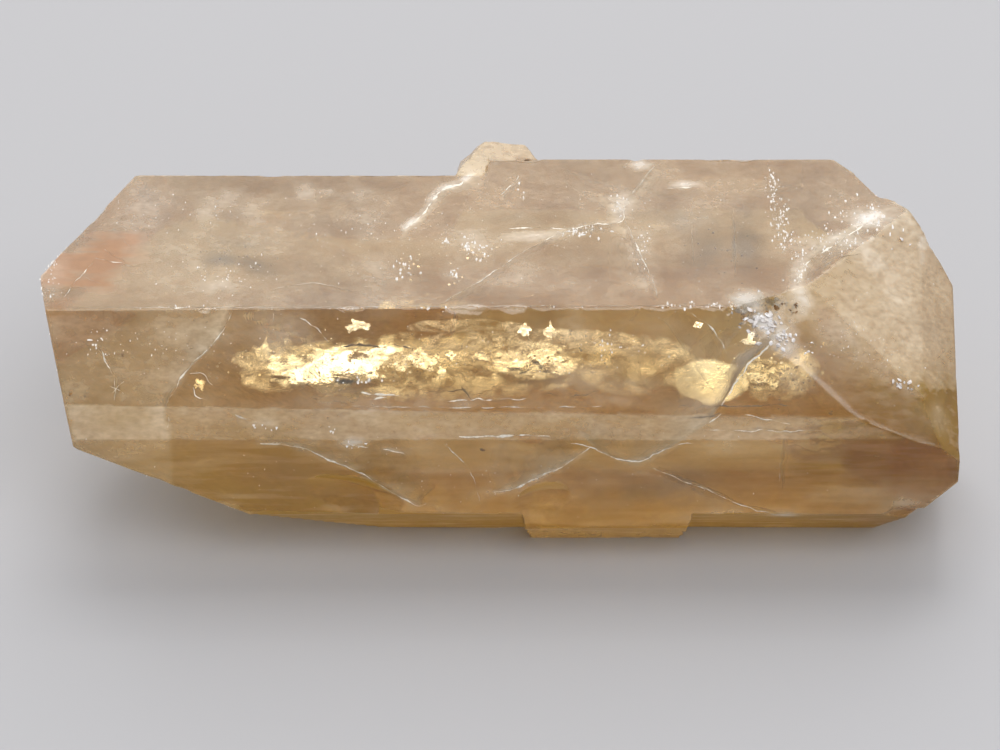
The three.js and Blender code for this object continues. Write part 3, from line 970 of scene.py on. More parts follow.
def bariteMaterial():
    # a clear shader that turns milky by the haze, tinted by one mask after another; the golden
    # absorption inside deepens with the thickness
    look = bariteLook
    material, tree, shader = newMaterial("goldenBarite")
    grain = noiseNode(tree, look["grainPerMm"], 3, look["grainSqueeze"])
    streaks = noiseNode(tree, look["streaksPerMm"], 2, look["streakSqueeze"])
    names = ("honeyAndShade", "clear", "smoke", "rust", "milkAndHighlight", "haze", "frost")
    mask = {name: maskNode(tree, name) for name in names}
    honeyAndShade = variedNode(tree, mask["honeyAndShade"], streaks, 0.2, 0.60, 1.60)
    milkAndHighlight = variedNode(tree, mask["milkAndHighlight"], grain, 0.3, 0.80, 1.20)
    colour = look["cream"]
    for name, share in (("honeyAndShade", honeyAndShade), ("clear", mask["clear"]), ("smoke", mask["smoke"]),
                        ("rust", mask["rust"]), ("milkAndHighlight", milkAndHighlight)):
        colour = mixNode(tree, share, colour, look[name])
    haze = variedNode(tree, mask["haze"], grain, 0.25, 0.70, 1.30, False)
    rustHaze = mathNode(tree, "MULTIPLY", mask["rust"], look["rustHaze"])
    haze = mathNode(tree, "ADD", haze, mathNode(tree, "MULTIPLY", milkAndHighlight, look["milkHaze"]))
    haze = mathNode(tree, "ADD", haze, rustHaze, True)
    milkFrost = mathNode(tree, "MULTIPLY", milkAndHighlight, look["milkFrost"])
    frost = mathNode(tree, "ADD", mask["frost"], milkFrost)
    frost = variedNode(tree, frost, grain, 0.3, 0.85, 1.15)
    setShader(tree, shader, Base_Color=colour, Roughness=frost, IOR=look["index"],
              Transmission_Weight=mathNode(tree, "SUBTRACT", 1.0, haze, True))
    absorb = tree.nodes.new("ShaderNodeVolumeAbsorption")
    absorb.inputs["Color"].default_value = (*look["absorbColour"], 1)
    absorb.inputs["Density"].default_value = look["absorbDensity"]
    tree.links.new(absorb.outputs[0], tree.nodes["Material Output"].inputs["Volume"])
    return material


crystal = crystalBody()
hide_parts("barite_crystal")
keepPiece(crystal, bariteMaterial())


def closedSheet(grid, thickness, cover):
    # a thin closed sheet over a grid of points: a front and a back layer half the thickness to
    # either side, without the squares that aren't covered, joined round every edge that only
    # one square has
    leastCover = 0.08
    across = np.gradient(grid, axis=1)
    along = np.gradient(grid, axis=0)
    normal = np.cross(along, across)
    normal /= np.linalg.norm(normal, axis=-1, keepdims=True) + 1e-12
    count = grid[..., 0].size
    vertices = np.concatenate([(grid + normal * thickness / 2).reshape(-1, 3),
                               (grid - normal * thickness / 2).reshape(-1, 3)])
    index = np.arange(count).reshape(grid.shape[:2])
    corners = np.stack([index[:-1, :-1], index[1:, :-1], index[1:, 1:], index[:-1, 1:]], -1)
    corners = corners.reshape(-1, 4)
    front = corners[cover.ravel()[corners].max(-1) > leastCover]
    edges = np.concatenate([front[:, [k, (k + 1) % 4]] for k in range(4)])
    rim = edges[~np.isin(edges @ [count, 1], edges @ [1, count])]
    sides = np.stack([rim[:, 1], rim[:, 0], rim[:, 0] + count, rim[:, 1] + count], -1)
    faces = np.concatenate([front, front[:, ::-1] + count, sides])
    used, faces = np.unique(faces, return_inverse=True)
    return vertices[used], faces.reshape(-1, 4), used


def joined(parts):
    # one vertex array, face array and mask from many, each part's faces counted on
    vertices, faces, masks, start = [], [], [], 0
    for partVertices, partFaces, partMask in parts:
        vertices.append(partVertices)
        faces.append(partFaces + start)
        masks.append(partMask)
        start += len(partVertices)
    return np.concatenate(vertices), np.concatenate(faces), np.concatenate(masks)


fractureLook = {
    "along": 90,           # points along the visible edge, and across the sheet
    "across": 16,
    "thickness": 0.012,
    "crumple": 0.05,
    "ripple": 0.02,        # height of the arcs that a shell-like break leaves
    "margin": 0.03,        # sheets fade out this close under the surface
    "rimWidth": 0.06,      # bright line along the visible edge, as a share of the run
    "endFade": 0.12,
    "crumpleSeed": 500,
    "patchSeed": 900,
    "colour": (1.0, 0.94, 0.84),
    "shade": (0.94, 0.78, 0.50),
}


def fractureSheets():
    # point = edge + v x run + bulge x sin(pi v) across it, crumpled by noise and rippled along v;
    # cover is the body, thinning out as (1 - v) to the power 0.7, plus a bright line at the edge
    look = fractureLook
    v = np.linspace(0, 1, look["across"])[None, :, None]
    u = np.linspace(0, 1, look["along"])[:, None, None]
    parts = []
    for number, (edge, run, bulge, line, veil, _) in enumerate(fractures):
        path = smoothPath(edge, look["along"])[:, None, :]
        run = np.array(run)
        side = np.cross(np.gradient(path[:, 0], axis=0), run)[:, None, :]
        side /= np.linalg.norm(side, axis=-1, keepdims=True)
        taper = 0.35 + 0.65 * np.sin(np.pi * u)
        grid = path + v * run * taper
        rough = roughNoise(grid, 0.8, look["crumpleSeed"] + 7 * number, 4)[..., None]
        ripple = look["ripple"] * np.sin(2 * np.pi * (v * 5 + 0.3 * rough))
        grid = grid + side * (bulge * np.sin(np.pi * v) + look["crumple"] * rough + ripple * v)
        patches = roughNoise(grid, 1.1, look["patchSeed"] + 5 * number, 4)
        fromEnd = np.minimum(u, 1 - u)[..., 0]
        fade = smoothStep(0, look["endFade"], fromEnd)
        body = veil * (1 - v[..., 0]) ** 0.7 * np.clip(0.8 + 0.9 * patches, 0, 1.8)
        rim = line * np.exp(-(v[..., 0] / look["rimWidth"]) ** 2)
        rim = rim * np.clip(1 + 0.6 * patches, 0.2, 1.4)
        within = smoothStep(0, look["margin"], depthInside(grid)[0])
        cover = np.clip((body + rim) * fade, 0, 1) * within
        vertices, faces, used = closedSheet(grid, look["thickness"], cover)
        parts.append((vertices, faces, np.tile(cover.ravel(), 2)[used]))
    vertices, faces, cover = joined(parts)
    return meshFrom("fractureVeils", vertices, faces, 60, {"cover": cover})


def veilMaterial():
    # half metallic, so that a veil glints like the air gap of a real crack
    material, tree, shader = newMaterial("fractureVeil")
    colour = mixNode(tree, maskNode(tree, "cover"), fractureLook["shade"], fractureLook["colour"])
    setShader(tree, shader, Base_Color=colour, Roughness=0.35, IOR=1.8, Metallic=0.5,
              Alpha=maskNode(tree, "cover"))
    return material


keepPiece(fractureSheets(), veilMaterial())


# foil-like cleavage films: centre, half sizes along and across, lift of the back edge in
# degrees, crumple in mm, raggedness (0 for a smooth one that fades out), paleness from gold
# to white, cover
films = [
    ((-2.5, -2.93, 7.28), (7.40, 1.75), 13.0, 0.050, 0.00, 0.35, 0.46),
    ((-7.9, -3.05, 7.42), (2.00, 1.40), 13.5, 0.050, 0.00, 0.40, 0.30),
    ((5.2, -3.00, 7.35), (2.80, 1.60), 12.0, 0.060, 0.00, 0.20, 0.24),
    ((1.7, -3.33, 8.79), (5.60, 0.66), 12.0, 0.090, 0.00, 0.20, 0.30),
    ((-1.2, -3.24, 9.41), (2.60, 0.44), 12.0, 0.050, 0.00, 0.20, 0.28),
    ((-6.1, -3.70, 7.56), (1.05, 0.86), 19.0, 0.003, 0.14, 1.00, 1.00),
    ((-5.3, -3.47, 7.82), (0.85, 0.66), 19.0, 0.004, 0.20, 1.00, 1.00),
    ((-7.0, -3.69, 7.44), (0.85, 0.52), 19.0, 0.004, 0.30, 1.00, 1.00),
    ((-4.6, -3.20, 7.85), (1.20, 0.65), 17.8, 0.016, 0.50, 0.95, 1.00),
    ((-5.8, -3.12, 7.48), (2.70, 1.05), 15.5, 0.030, 0.65, 0.70, 1.00),
    ((-5.1, -2.89, 9.12), (0.58, 0.38), 15.5, 0.015, 0.55, 0.70, 0.95),
    ((-2.8, -3.15, 7.70), (0.87, 0.76), 16.0, 0.030, 0.70, 0.70, 1.00),
    ((-8.0, -3.10, 7.37), (1.10, 0.95), 15.0, 0.030, 0.95, 0.70, 0.80),
    ((-2.1, -3.20, 7.31), (0.22, 0.25), 18.5, 0.004, 0.40, 1.00, 1.00),
    ((-1.7, -3.00, 7.90), (0.22, 0.25), 18.5, 0.004, 0.40, 1.00, 1.00),
    ((1.0, -2.86, 9.05), (0.36, 0.34), 15.5, 0.012, 0.70, 0.70, 1.00),
    ((1.9, -2.87, 8.87), (0.22, 0.45), 15.5, 0.012, 0.60, 0.70, 1.00),
    ((1.4, -3.02, 7.58), (1.23, 0.50), 15.0, 0.020, 0.70, 0.70, 1.00),
    ((1.4, -2.90, 7.52), (1.90, 0.95), 12.5, 0.025, 0.00, 0.60, 0.90),
    ((-0.7, -3.00, 7.85), (0.80, 0.38), 13.0, 0.020, 0.80, 0.30, 1.00),
    ((7.7, -3.08, 6.73), (1.55, 1.10), 13.5, 0.006, 0.12, 1.00, 0.75),
    ((10.0, -3.04, 6.80), (1.70, 1.30), 11.5, 0.040, 0.00, 0.40, 0.42),
    ((10.0, -3.14, 6.90), (1.00, 0.70), 12.5, 0.030, 0.80, 0.60, 0.70),
    ((-5.8, -3.35, 6.16), (0.90, 0.26), 13.0, 0.030, 0.40, 0.00, 1.00),
    ((-4.2, -3.25, 6.40), (0.72, 0.17), 16.0, 0.030, 0.50, 0.90, 1.00),
    ((7.2, -2.81, 9.15), (0.18, 0.17), 17.5, 0.010, 0.60, 1.00, 1.00),
    ((9.0, -2.87, 8.49), (0.43, 0.21), 14.0, 0.020, 0.50, 0.70, 1.00),
    ((-10.8, -3.18, 6.73), (0.25, 0.38), 14.0, 0.020, 0.80, 0.30, 1.00),
]

filmLook = {
    "steps": 24,           # rows of the smallest film, and more rows for each mm of half size
    "stepsPerMm": 13,
    "thickness": 0.012,
    "facet": 0.016,        # height of the little facets that a foil is broken into
    "facetCell": 0.16,
    "smoothFacet": 0.5,    # share of that height on a smooth film; a ragged one's raggedness
    "turn": 4,             # degrees that a ragged film may be turned on the dome's run
    "rimSeed": 1300,
    "crumpleSeed": 1500,
    "facetSeed": 1600,
    "patchSeed": 1700,
    "specklePerMm": 9.0,   # grain of the foil, and how much of it the white parts have
    "speckleDepth": 0.030,
    "paleSpeckle": 0.25,
    "goldRoughness": 0.30,
    "paleRoughness": 0.08,
    "gold": (1.0, 0.94, 0.80),
    "pale": (1.0, 0.99, 0.97),
}


def flashFilms():
    # a square grid pressed into a disc, its rim swollen by a noise round it, crumpled by noise,
    # and broken into little facets by a finer noise; the cover breaks up into scraps toward
    # the rim, or on a smooth film fades out with the squared distance and a noise
    look = filmLook
    parts = []
    for number, (centre, half, lift, crumple, ragged, pale, strength) in enumerate(films):
        rows, columns = (int(look["steps"] + look["stepsPerMm"] * size) for size in half)
        s, t = np.meshgrid(np.linspace(-1, 1, rows), np.linspace(-1, 1, columns), indexing="ij")
        discS, discT = s * np.sqrt(1 - t * t / 2), t * np.sqrt(1 - s * s / 2)
        a = math.radians(look["turn"] * math.sin(2.4 * number)) if ragged else 0
        b = math.radians(lift)
        along = np.array([math.cos(a), math.sin(a), 0])
        across = np.array([-math.sin(a) * math.cos(b), math.cos(a) * math.cos(b), math.sin(b)])
        size = np.sqrt(discS ** 2 + discT ** 2) + 1e-9
        rim = np.stack([discS / size, discT / size, np.full(s.shape, 2.0 * number)], -1)
        swell = ragged * roughNoise(rim, 0.7, look["rimSeed"] + 11 * number, 4)
        swell = 1 + swell * smoothStep(0.2, 1.0, size)
        grid = (np.array(centre) + (swell * discS)[..., None] * half[0] * along
                + (swell * discT)[..., None] * half[1] * across)
        height = crumple * roughNoise(grid, 0.9, look["crumpleSeed"] + 11 * number, 3)
        facet = look["facet"] * (ragged or look["smoothFacet"])
        height = height + facet * latticeNoise(grid, look["facetCell"], look["facetSeed"] + number)
        grid = grid + np.cross(along, across) * height[..., None]
        patches = roughNoise(grid, 0.45, look["patchSeed"] + 11 * number, 5)
        scraps = 1.7 * ragged * patches + 1.1 - 1.25 * ragged - 0.8 * size ** 2
        scraps = smoothStep(-0.15, 0.15, scraps)
        fading = smoothStep(0, 0.9, 1.1 - 1.1 * size ** 2 + 0.7 * patches)
        fading = fading * smoothStep(1.0, 0.7, size)
        cover = strength * smoothStep(1.0, 0.82, size) * (scraps if ragged else fading)
        cover = np.clip(cover, 0, 1)
        tone = np.clip(pale + 0.5 * patches, 0, 1)
        vertices, faces, used = closedSheet(grid, look["thickness"], cover)
        masks = np.stack([cover.ravel(), tone.ravel()], -1)
        parts.append((vertices, faces, np.tile(masks, (2, 1))[used]))
    vertices, faces, masks = joined(parts)
    return meshFrom("flashFilms", vertices, faces, 8, {"cover": masks[:, 0], "tone": masks[:, 1]})


def filmMaterial():
    # polished metal from gold to white by the tone, the gold parts grainier and rougher
    look = filmLook
    material, tree, shader = newMaterial("cleavageFoil")
    tone = maskNode(tree, "tone")
    bump = tree.nodes.new("ShaderNodeBump")
    bump.inputs["Distance"].default_value = look["speckleDepth"] * mm
    plug(tree, bump.inputs["Strength"], rangeNode(tree, tone, 0, 1, 1.0, look["paleSpeckle"]))
    plug(tree, bump.inputs["Height"], noiseNode(tree, look["specklePerMm"], 2))
    setShader(tree, shader, Base_Color=mixNode(tree, tone, look["gold"], look["pale"]),
              Roughness=rangeNode(tree, tone, 0, 1, look["goldRoughness"], look["paleRoughness"]),
              Metallic=0.95, Alpha=maskNode(tree, "cover"), Normal=bump.outputs["Normal"])
    return material


keepPiece(flashFilms(), filmMaterial())


# fine lines just under the faces: along each, x and y on the top face or x and z on the
# others, then width and shade, from dark cracks at 0 to white ones at 1; some white lines
# are painted highlights on edges, and the dark lines, but for the iron-stained ones near the
# left tip, are painted shade along cracks and edges
crackLines = {
    "top": [
        ([(-2.04, -3.0), (-0.43, -1.52), (1.09, -0.02), (2.67, 1.16)], 0.05, 0.9),
        ([(2.67, 1.16), (3.73, 1.44), (4.5, 1.56), (4.62, 2.07), (4.56, 2.53), (4.05, 2.87)],
         0.07, 1.0),
        ([(5.79, 4.78), (5.24, 3.73), (4.63, 2.64)], 0.04, 0.8),
        ([(0.37, 1.16), (1.35, 1.2), (2.67, 1.16)], 0.09, 1.0),
        ([(4.61, 1.73), (5.12, -0.13), (5.56, -1.69), (5.72, -2.62)], 0.05, 0.8),
        ([(-3.43, 1.16), (-2.71, 2.07), (-2.39, 2.81), (-1.99, 3.44), (-1.36, 3.73), (-1.07, 4.2)],
         0.20, 1.0),
        ([(0.08, 3.04), (0.44, 3.56), (0.78, 4.2)], 0.08, 0.9),
        ([(-8.2, -2.24), (-7.53, -2.02), (-6.41, -1.91), (-5.87, -2.07), (-5.25, -2.35)],
         0.03, 0.9),
        ([(-5.0, -2.29), (-4.37, -2.95)], 0.04, 0.1),
        ([(6.16, 3.44), (7.34, 3.56)], 0.08, 1.0),
        ([(8.69, 2.01), (8.6, 0.2), (8.56, -1.58)], 0.04, 0.2),
        ([(13.61, 1.56), (12.26, 0.26), (11.04, -1.02), (10.81, -1.96)], 0.10, 1.0),
        ([(11.36, -0.3), (12.25, 0.09), (13.09, 0.15)], 0.06, 0.1),
        ([(11.47, -1.13), (12.41, -0.47), (13.22, -0.13)], 0.06, 0.1),
        ([(-14.61, -0.52), (-13.87, -0.69), (-13.1, -0.97)], 0.06, 1.0),
        ([(-14.31, -0.02), (-13.51, -0.69)], 0.04, 0.9),
        ([(-14.06, 1.16), (-13.78, 0.71), (-13.42, 0.2)], 0.26, 0.22),
        ([(-15.9, -0.9), (-15.3, -0.5), (-14.7, -0.6)], 0.16, 0.18),
        ([(-15.7, -1.2), (-15.0, -1.5), (-14.3, -1.9)], 0.12, 0.22),
        ([(-15.2, 0.4), (-14.6, 0.5), (-14.1, 0.2)], 0.12, 0.22),
        ([(-15.59, -2.62), (-15.24, -1.85), (-14.6, -0.69)], 0.05, 1.0),
        ([(-12.18, -3.17), (-11.57, -3.23), (-11.03, -3.23)], 0.07, 1.0),
        # a pale line along the whole ridge: a painted highlight where the rounded edge catches the
        # light
        ([(-15.4, -3.22), (-7.0, -3.2), (1.0, -3.13), (8.4, -3.1)], 0.03, 0.8),
        ([(1.15, -3.1), (1.87, -3.1)], 0.06, 1.0),
        ([(2.67, 1.16), (3.2, 1.1), (3.73, 1.44)], 0.04, 0.1),
    ],
    "dome": [
        ([(-9.52, 10.27), (-9.63, 10.07), (-10.14, 9.41), (-11.04, 8.67), (-11.47, 8.19),
          (-11.83, 7.65)],
         0.06, 1.0),
        ([(-14.36, 9.35), (-14.08, 8.92), (-13.73, 8.34), (-13.77, 7.71)], 0.05, 0.9),
        ([(-13.94, 8.17), (-13.41, 7.94)], 0.04, 1.0),
        ([(-13.41, 8.28), (-13.84, 7.94)], 0.04, 1.0),
        ([(-8.09, 10.2), (-8.09, 9.95)], 0.05, 1.0),
        ([(-7.09, 10.06), (-6.45, 9.74), (-6.02, 9.25)], 0.07, 0.9),
        ([(-6.0, 9.22), (-5.2, 9.25), (-4.3, 9.24), (-2.97, 9.18)], 0.11, 0.10),
        ([(-7.9, 8.7), (-7.2, 8.85), (-6.6, 8.95)], 0.04, 0.1),
        ([(8.05, 7.47), (9.01, 8.67), (9.72, 9.21), (10.47, 9.75)], 0.07, 1.0),
        ([(-1.36, 8.08), (-0.71, 7.45)], 0.06, 0.2),
        ([(-11.04, 8.5), (-10.5, 8.44), (-10.25, 8.15)], 0.04, 1.0),
        ([(-10.93, 8.1), (-10.76, 7.81), (-10.44, 7.7)], 0.04, 1.0),
        # a pale and a dark line along the dome's lower edge: painted highlight and painted shade
        ([(-5.63, 7.54), (-2.08, 7.47), (3.74, 7.47)], 0.04, 0.6),
        ([(6.5, 7.48), (8.69, 7.44), (10.56, 7.46)], 0.06, 0.15),
        # the next three white lines are painted highlights and glints low on the dome
        ([(-2.11, 7.66), (1.08, 7.7)], 0.05, 1.0),
        ([(-4.9, 7.93), (-4.2, 7.86), (-3.5, 7.84)], 0.09, 1.0),
        ([(-4.6, 7.74), (-4.0, 7.78)], 0.07, 1.0),
        ([(6.89, 10.13), (7.89, 9.47), (8.18, 8.98)], 0.06, 0.9),
        ([(-2.6, 7.9), (-1.9, 7.92), (-1.1, 7.98)], 0.03, 0.15),
        ([(1.7, 7.85), (2.6, 7.75), (3.6, 7.9)], 0.03, 0.2),
    ],
    "band": [
        # this white line and the long pale one after it: painted highlights on steps of the band
        ([(-1.4, 6.39), (0.2, 6.42), (1.87, 6.43)], 0.13, 0.95),
        ([(7.37, 6.67), (9.0, 6.63), (11.91, 6.63)], 0.04, 0.8),
        ([(9.1, 6.7), (10.2, 6.68)], 0.05, 0.1),
        ([(6.9, 7.1), (7.47, 7.15), (7.97, 7.25)], 0.09, 0.2),
        ([(-9.44, 7.2), (-8.97, 7.09), (-8.48, 6.86)], 0.09, 0.7),
        ([(7.44, 6.78), (8.04, 7.26)], 0.05, 1.0),
        ([(8.86, 7.26), (10.5, 6.86)], 0.05, 0.9),
        ([(-11.88, 7.21), (-11.86, 6.74)], 0.05, 0.9),
    ],
    "front": [
        ([(-8.56, 6.1), (-7.52, 6.0), (-6.78, 5.76), (-6.07, 5.27), (-5.5, 4.97), (-4.78, 4.48),
          (-3.82, 3.53), (-3.35, 3.33), (-2.88, 3.03), (-2.62, 3.13)], 0.09, 1.0),
        ([(-0.14, 3.68), (0.47, 3.78), (1.52, 4.48), (2.25, 4.92), (3.32, 5.91)], 0.09, 1.0),
        ([(2.63, 6.1), (3.03, 6.05), (3.68, 5.71), (4.45, 5.27), (5.13, 5.22), (5.6, 5.52),
          (6.49, 6.05), (7.02, 6.15)], 0.09, 1.0),
        ([(5.61, 4.87), (6.42, 4.43), (7.63, 3.78), (8.97, 2.98), (10.08, 2.57)], 0.06, 0.9),
        ([(10.22, 5.47), (10.24, 4.18)], 0.04, 0.7),
        ([(-1.94, 6.1), (-1.01, 4.77), (-0.65, 3.28)], 0.04, 0.7),
        ([(-5.57, 6.1), (-4.68, 5.91)], 0.10, 1.0),
        ([(-4.14, 5.81), (-3.35, 5.57)], 0.10, 1.0),
    ],
}

crackLook = {
    "rows": 72,            # points along each line
    "whiteDepth": -0.004,  # open cracks stand a hair proud of the face
    "darkDepth": 0.006,
    "thickness": 0.012,
    "wander": 0.05,        # how far a line strays to either side
    "breadth": 0.30,       # share of the width that each side of it gets
    "whiteFrom": 0.5,      # lines of a higher shade are open cracks
    "material": "crackLine",
    # the dark lines' colour: painted shade in cracks and along edges, iron stain near the left tip
    "dark": (0.16, 0.09, 0.03),
    "light": (0.94, 0.88, 0.76),
    "roughness": 0.3,
    "metallic": 0.1,
}


def crackLineMesh():
    # flat four-sided tubes along smooth curves that lie a little below a face, moved in along
    # the rays where a break has taken the face away; their width swells and thins with a
    # noise, and another noise makes them wander
    look = crackLook
    names = list(growthFaces)
    parts = []
    for name, lines in crackLines.items():
        normal, offset = normals[names.index(name)], offsets[names.index(name)]
        known, missing = ([0, 1], 2) if name == "top" else ([0, 2], 1)
        for pairs, width, shade in lines:
            corners = np.zeros((len(pairs), 3))
            corners[:, known] = pairs
            depth = look["whiteDepth"] if shade > look["whiteFrom"] else look["darkDepth"]
            corners[:, missing] = (offset - depth - corners @ normal) / normal[missing]
            path = smoothPath(corners, look["rows"])
            along = np.gradient(path, axis=0)
            side = np.cross(normal, along)
            side /= np.linalg.norm(side, axis=1, keepdims=True)
            path = path + look["wander"] * side * roughNoise(path, 0.35, 611, 3)[:, None]
            within, ray = depthInside(path)
            path = path + np.minimum(within - depth, 0)[:, None] * ray
            taper = np.sin(np.linspace(0.1, np.pi - 0.1, look["rows"])) ** 0.5
            swell = np.clip(0.8 + 1.6 * roughNoise(path, 0.3, 631, 3), 0.04, 2.4)
            half = width * look["breadth"] * taper * swell
            across, down = half[:, None] * side, look["thickness"] / 2 * normal
            tube = np.stack([path - across, path + down, path + across, path - down], 1)
            vertices, faces = closedTube(tube[:, ::-1], path[0], path[-1])
            parts.append((vertices, faces, np.full(len(vertices), shade)))
    vertices, faces, shade = joined(parts)
    return meshFrom("crackLines", vertices, faces, 30, {"shade": shade})


def grainMaterial(look):
    # small pieces whose tone runs from dark to light with each one's own shade, times a noise
    material, tree, shader = newMaterial(look["material"])
    shade = variedNode(tree, maskNode(tree, "shade"), noiseNode(tree, 9.0, 2), 0.2, 0.6, 1.3)
    setShader(tree, shader, Base_Color=mixNode(tree, shade, look["dark"], look["light"]),
              Roughness=look["roughness"], Metallic=look["metallic"])
    return material


def shardMesh(name, centres, sizes, look):
    # many small double pyramids: a jittered ring of points round each centre, at its radius x
    # (cos, sin) across its leaning normal, and a tip on either side of it
    draw = np.random.default_rng(look["seed"] + 1)
    count, sides = len(centres), look["sides"]
    normal = np.array(look["facing"], dtype=float) + look["lean"] * draw.normal(size=(count, 3))
    normal /= np.linalg.norm(normal, axis=1, keepdims=True)
    steep = np.abs(normal[:, 2:]) > 0.9
    helper = np.where(steep, np.array([[1.0, 0, 0]]), np.array([[0, 0, 1.0]]))
    along = np.cross(normal, helper)
    along /= np.linalg.norm(along, axis=1, keepdims=True)
    across = np.cross(normal, along)
    jitter = draw.uniform(-0.3, 0.3, (count, sides))
    turn = 2 * np.pi * (np.arange(sides)[None, :] + jitter) / sides
    radius = sizes[:, None] * draw.uniform(0.6, 1.1, (count, sides))
    reach = radius * draw.uniform(1.0, look["stretch"], (count, 1))
    ring = (centres[:, None] + (reach * np.cos(turn))[..., None] * along[:, None]
            + (radius * np.sin(turn))[..., None] * across[:, None])
    rise = (sizes * look["flatness"])[:, None] * normal
    tips = np.stack([centres + rise, centres - rise], 1)
    vertices = np.concatenate([ring, tips], 1).reshape(-1, 3)
    k = np.arange(sides)
    upper = np.stack([k, np.roll(k, -1), np.full(sides, sides)], -1)
    lower = np.stack([np.roll(k, -1), k, np.full(sides, sides + 1)], -1)
    one = np.concatenate([upper, lower])
    faces = (one[None] + (np.arange(count) * (sides + 2))[:, None, None]).reshape(-1, 3)
    shade = np.repeat(draw.uniform(0, 1, count), sides + 2)
    return meshFrom(name, vertices, faces, 30, {"shade": shade})


def scatter(clusters, depth, seed):
    # normal-distributed points round each cluster's centre, pushed in until they lie at least
    # depth below every growth face; those over a cut or broken place are left out
    draw = np.random.default_rng(seed)
    centres, sizes = [], []
    for centre, spread, count, size in clusters:
        centres.append(np.array(centre) + draw.normal(size=(count, 3)) * np.array(spread))
        sizes.append(size * draw.uniform(0.4, 1.3, count))
    centres, sizes = np.concatenate(centres), np.concatenate(sizes)
    for normal, offset in list(zip(normals, offsets)) * 6:
        beyond = np.maximum(centres @ normal - offset + depth, 0)
        centres = centres - beyond[:, None] * normal
    proud = 0.05           # a grain may stand this far out of a break
    kept = depthInside(centres)[0] > -proud
    return centres[kept], sizes[kept]


def keepGrains(name, look):
    # one piece of grains, scattered, shaped and given its own material
    centres, sizes = scatter(look["clusters"], look["depth"], look["seed"])
    keepPiece(shardMesh(name, centres, sizes, look), grainMaterial(look))


# Each kind of grain below has one dictionary. Its clusters give centre, spread, count and size;
# a grain lies at least depth under the faces, leans a little from facing, is flatness times as
# thick as wide and up to stretch times as long.

# small foils that flash inside, mostly round the cleavage films and by the cracks
glintLook = {
    "clusters": [
        ((-5.0, -3.3, 7.7), (1.6, 0.40, 0.35), 70, 0.060),
        ((-6.2, -3.6, 7.7), (1.7, 0.45, 0.40), 170, 0.034),
        ((-2.6, -3.5, 7.9), (1.6, 0.40, 0.35), 90, 0.030),
        ((0.6, -3.5, 8.4), (3.5, 0.40, 0.55), 60, 0.026),
        ((-3.0, -3.3, 7.9), (0.8, 0.30, 0.30), 40, 0.060),
        ((1.4, -3.2, 7.9), (0.9, 0.25, 0.30), 50, 0.060),
        ((10.0, -3.3, 7.3), (0.8, 0.35, 0.35), 50, 0.070),
        ((-10.6, -4.3, 8.0), (0.4, 0.25, 0.4), 20, 0.050),
        ((-3.3, -0.75, 9.9), (0.25, 0.35, 0.06), 18, 0.055),
        ((-1.0, 0.4, 9.9), (0.15, 0.20, 0.06), 12, 0.060),
        ((-0.6, 0.1, 9.9), (0.30, 0.25, 0.06), 18, 0.055),
        ((-1.5, -1.3, 9.9), (0.15, 0.25, 0.06), 12, 0.060),
        ((-1.9, -3.6, 8.6), (0.8, 0.3, 0.4), 20, 0.045),
        ((-10.8, -4.7, 8.0), (0.3, 0.2, 0.4), 12, 0.045),
        ((-14.4, -4.0, 9.3), (0.2, 0.1, 0.2), 6, 0.050),
        ((10.3, -4.3, 7.7), (0.8, 0.3, 0.3), 24, 0.050),
        ((9.2, -3.3, 9.8), (0.6, 0.4, 0.4), 24, 0.050),
        ((12.0, -5.5, 7.3), (0.1, 0.05, 0.1), 3, 0.070),
        ((13.8, -5.3, 7.7), (0.1, 0.05, 0.1), 3, 0.060),
        ((13.6, -5.6, 5.4), (0.1, 0.05, 0.1), 3, 0.060),
        ((-4.0, 0.5, 9.6), (5.0, 2.2, 0.3), 60, 0.026),
        ((4.0, -4.2, 8.6), (4.0, 0.5, 0.6), 40, 0.026),
    ],
    "depth": 0.12,
    "seed": 21,
    "flatness": 0.06,
    "lean": 0.07,
    "facing": (0, -0.28, 0.96),
    "sides": 6,
    "stretch": 1.0,
    "material": "glint",
    "dark": (0.9, 0.75, 0.5),
    "light": (1.0, 0.97, 0.9),
    "roughness": 0.2,
    "metallic": 0.7,
}

keepGrains("glints", glintLook)
keepPiece(crackLineMesh(), grainMaterial(crackLook))

# crumbled grains on the broken spots, and one cluster low on the right end that is a painted glint
shardLook = {
    "clusters": [
        ((8.95, -2.85, 10.15), (0.28, 0.22, 0.05), 70, 0.13),
        ((9.5, -3.5, 9.85), (0.30, 0.22, 0.15), 80, 0.13),
        ((10.2, -3.9, 9.3), (0.20, 0.18, 0.15), 30, 0.10),
        ((11.3, -4.0, 9.1), (0.12, 0.12, 0.12), 8, 0.06),
        ((14.2, 1.8, 9.75), (0.5, 0.5, 0.12), 50, 0.09),
        ((13.65, 1.8, 10.1), (0.2, 0.2, 0.05), 16, 0.13),
        ((-3.4, 1.25, 10.12), (0.12, 0.12, 0.04), 12, 0.09),
        ((-1.6, 3.7, 10.12), (0.25, 0.12, 0.04), 14, 0.09),
        ((-15.9, -1.2, 10.1), (0.15, 0.15, 0.05), 14, 0.09),
        ((-16.1, -2.2, 9.8), (0.08, 0.25, 0.15), 16, 0.08),
        ((3.3, 1.2, 10.15), (0.45, 0.15, 0.05), 30, 0.07),
        ((5.3, 4.85, 10.15), (0.25, 0.12, 0.04), 16, 0.10),
        # a painted glint low on the right end
        ((14.8, -4.4, 7.9), (0.22, 0.10, 0.10), 14, 0.11),
    ],
    "depth": -0.02,
    "seed": 31,
    "flatness": 0.5,
    "lean": 0.8,
    "facing": (0, 0, 1),
    "sides": 6,
    "stretch": 1.0,
    "material": "brokenBarite",
    "dark": (0.72, 0.66, 0.62),
    "light": (0.97, 0.95, 0.95),
    "roughness": 0.35,
    "metallic": 0.0,
}

keepGrains("shards", shardLook)

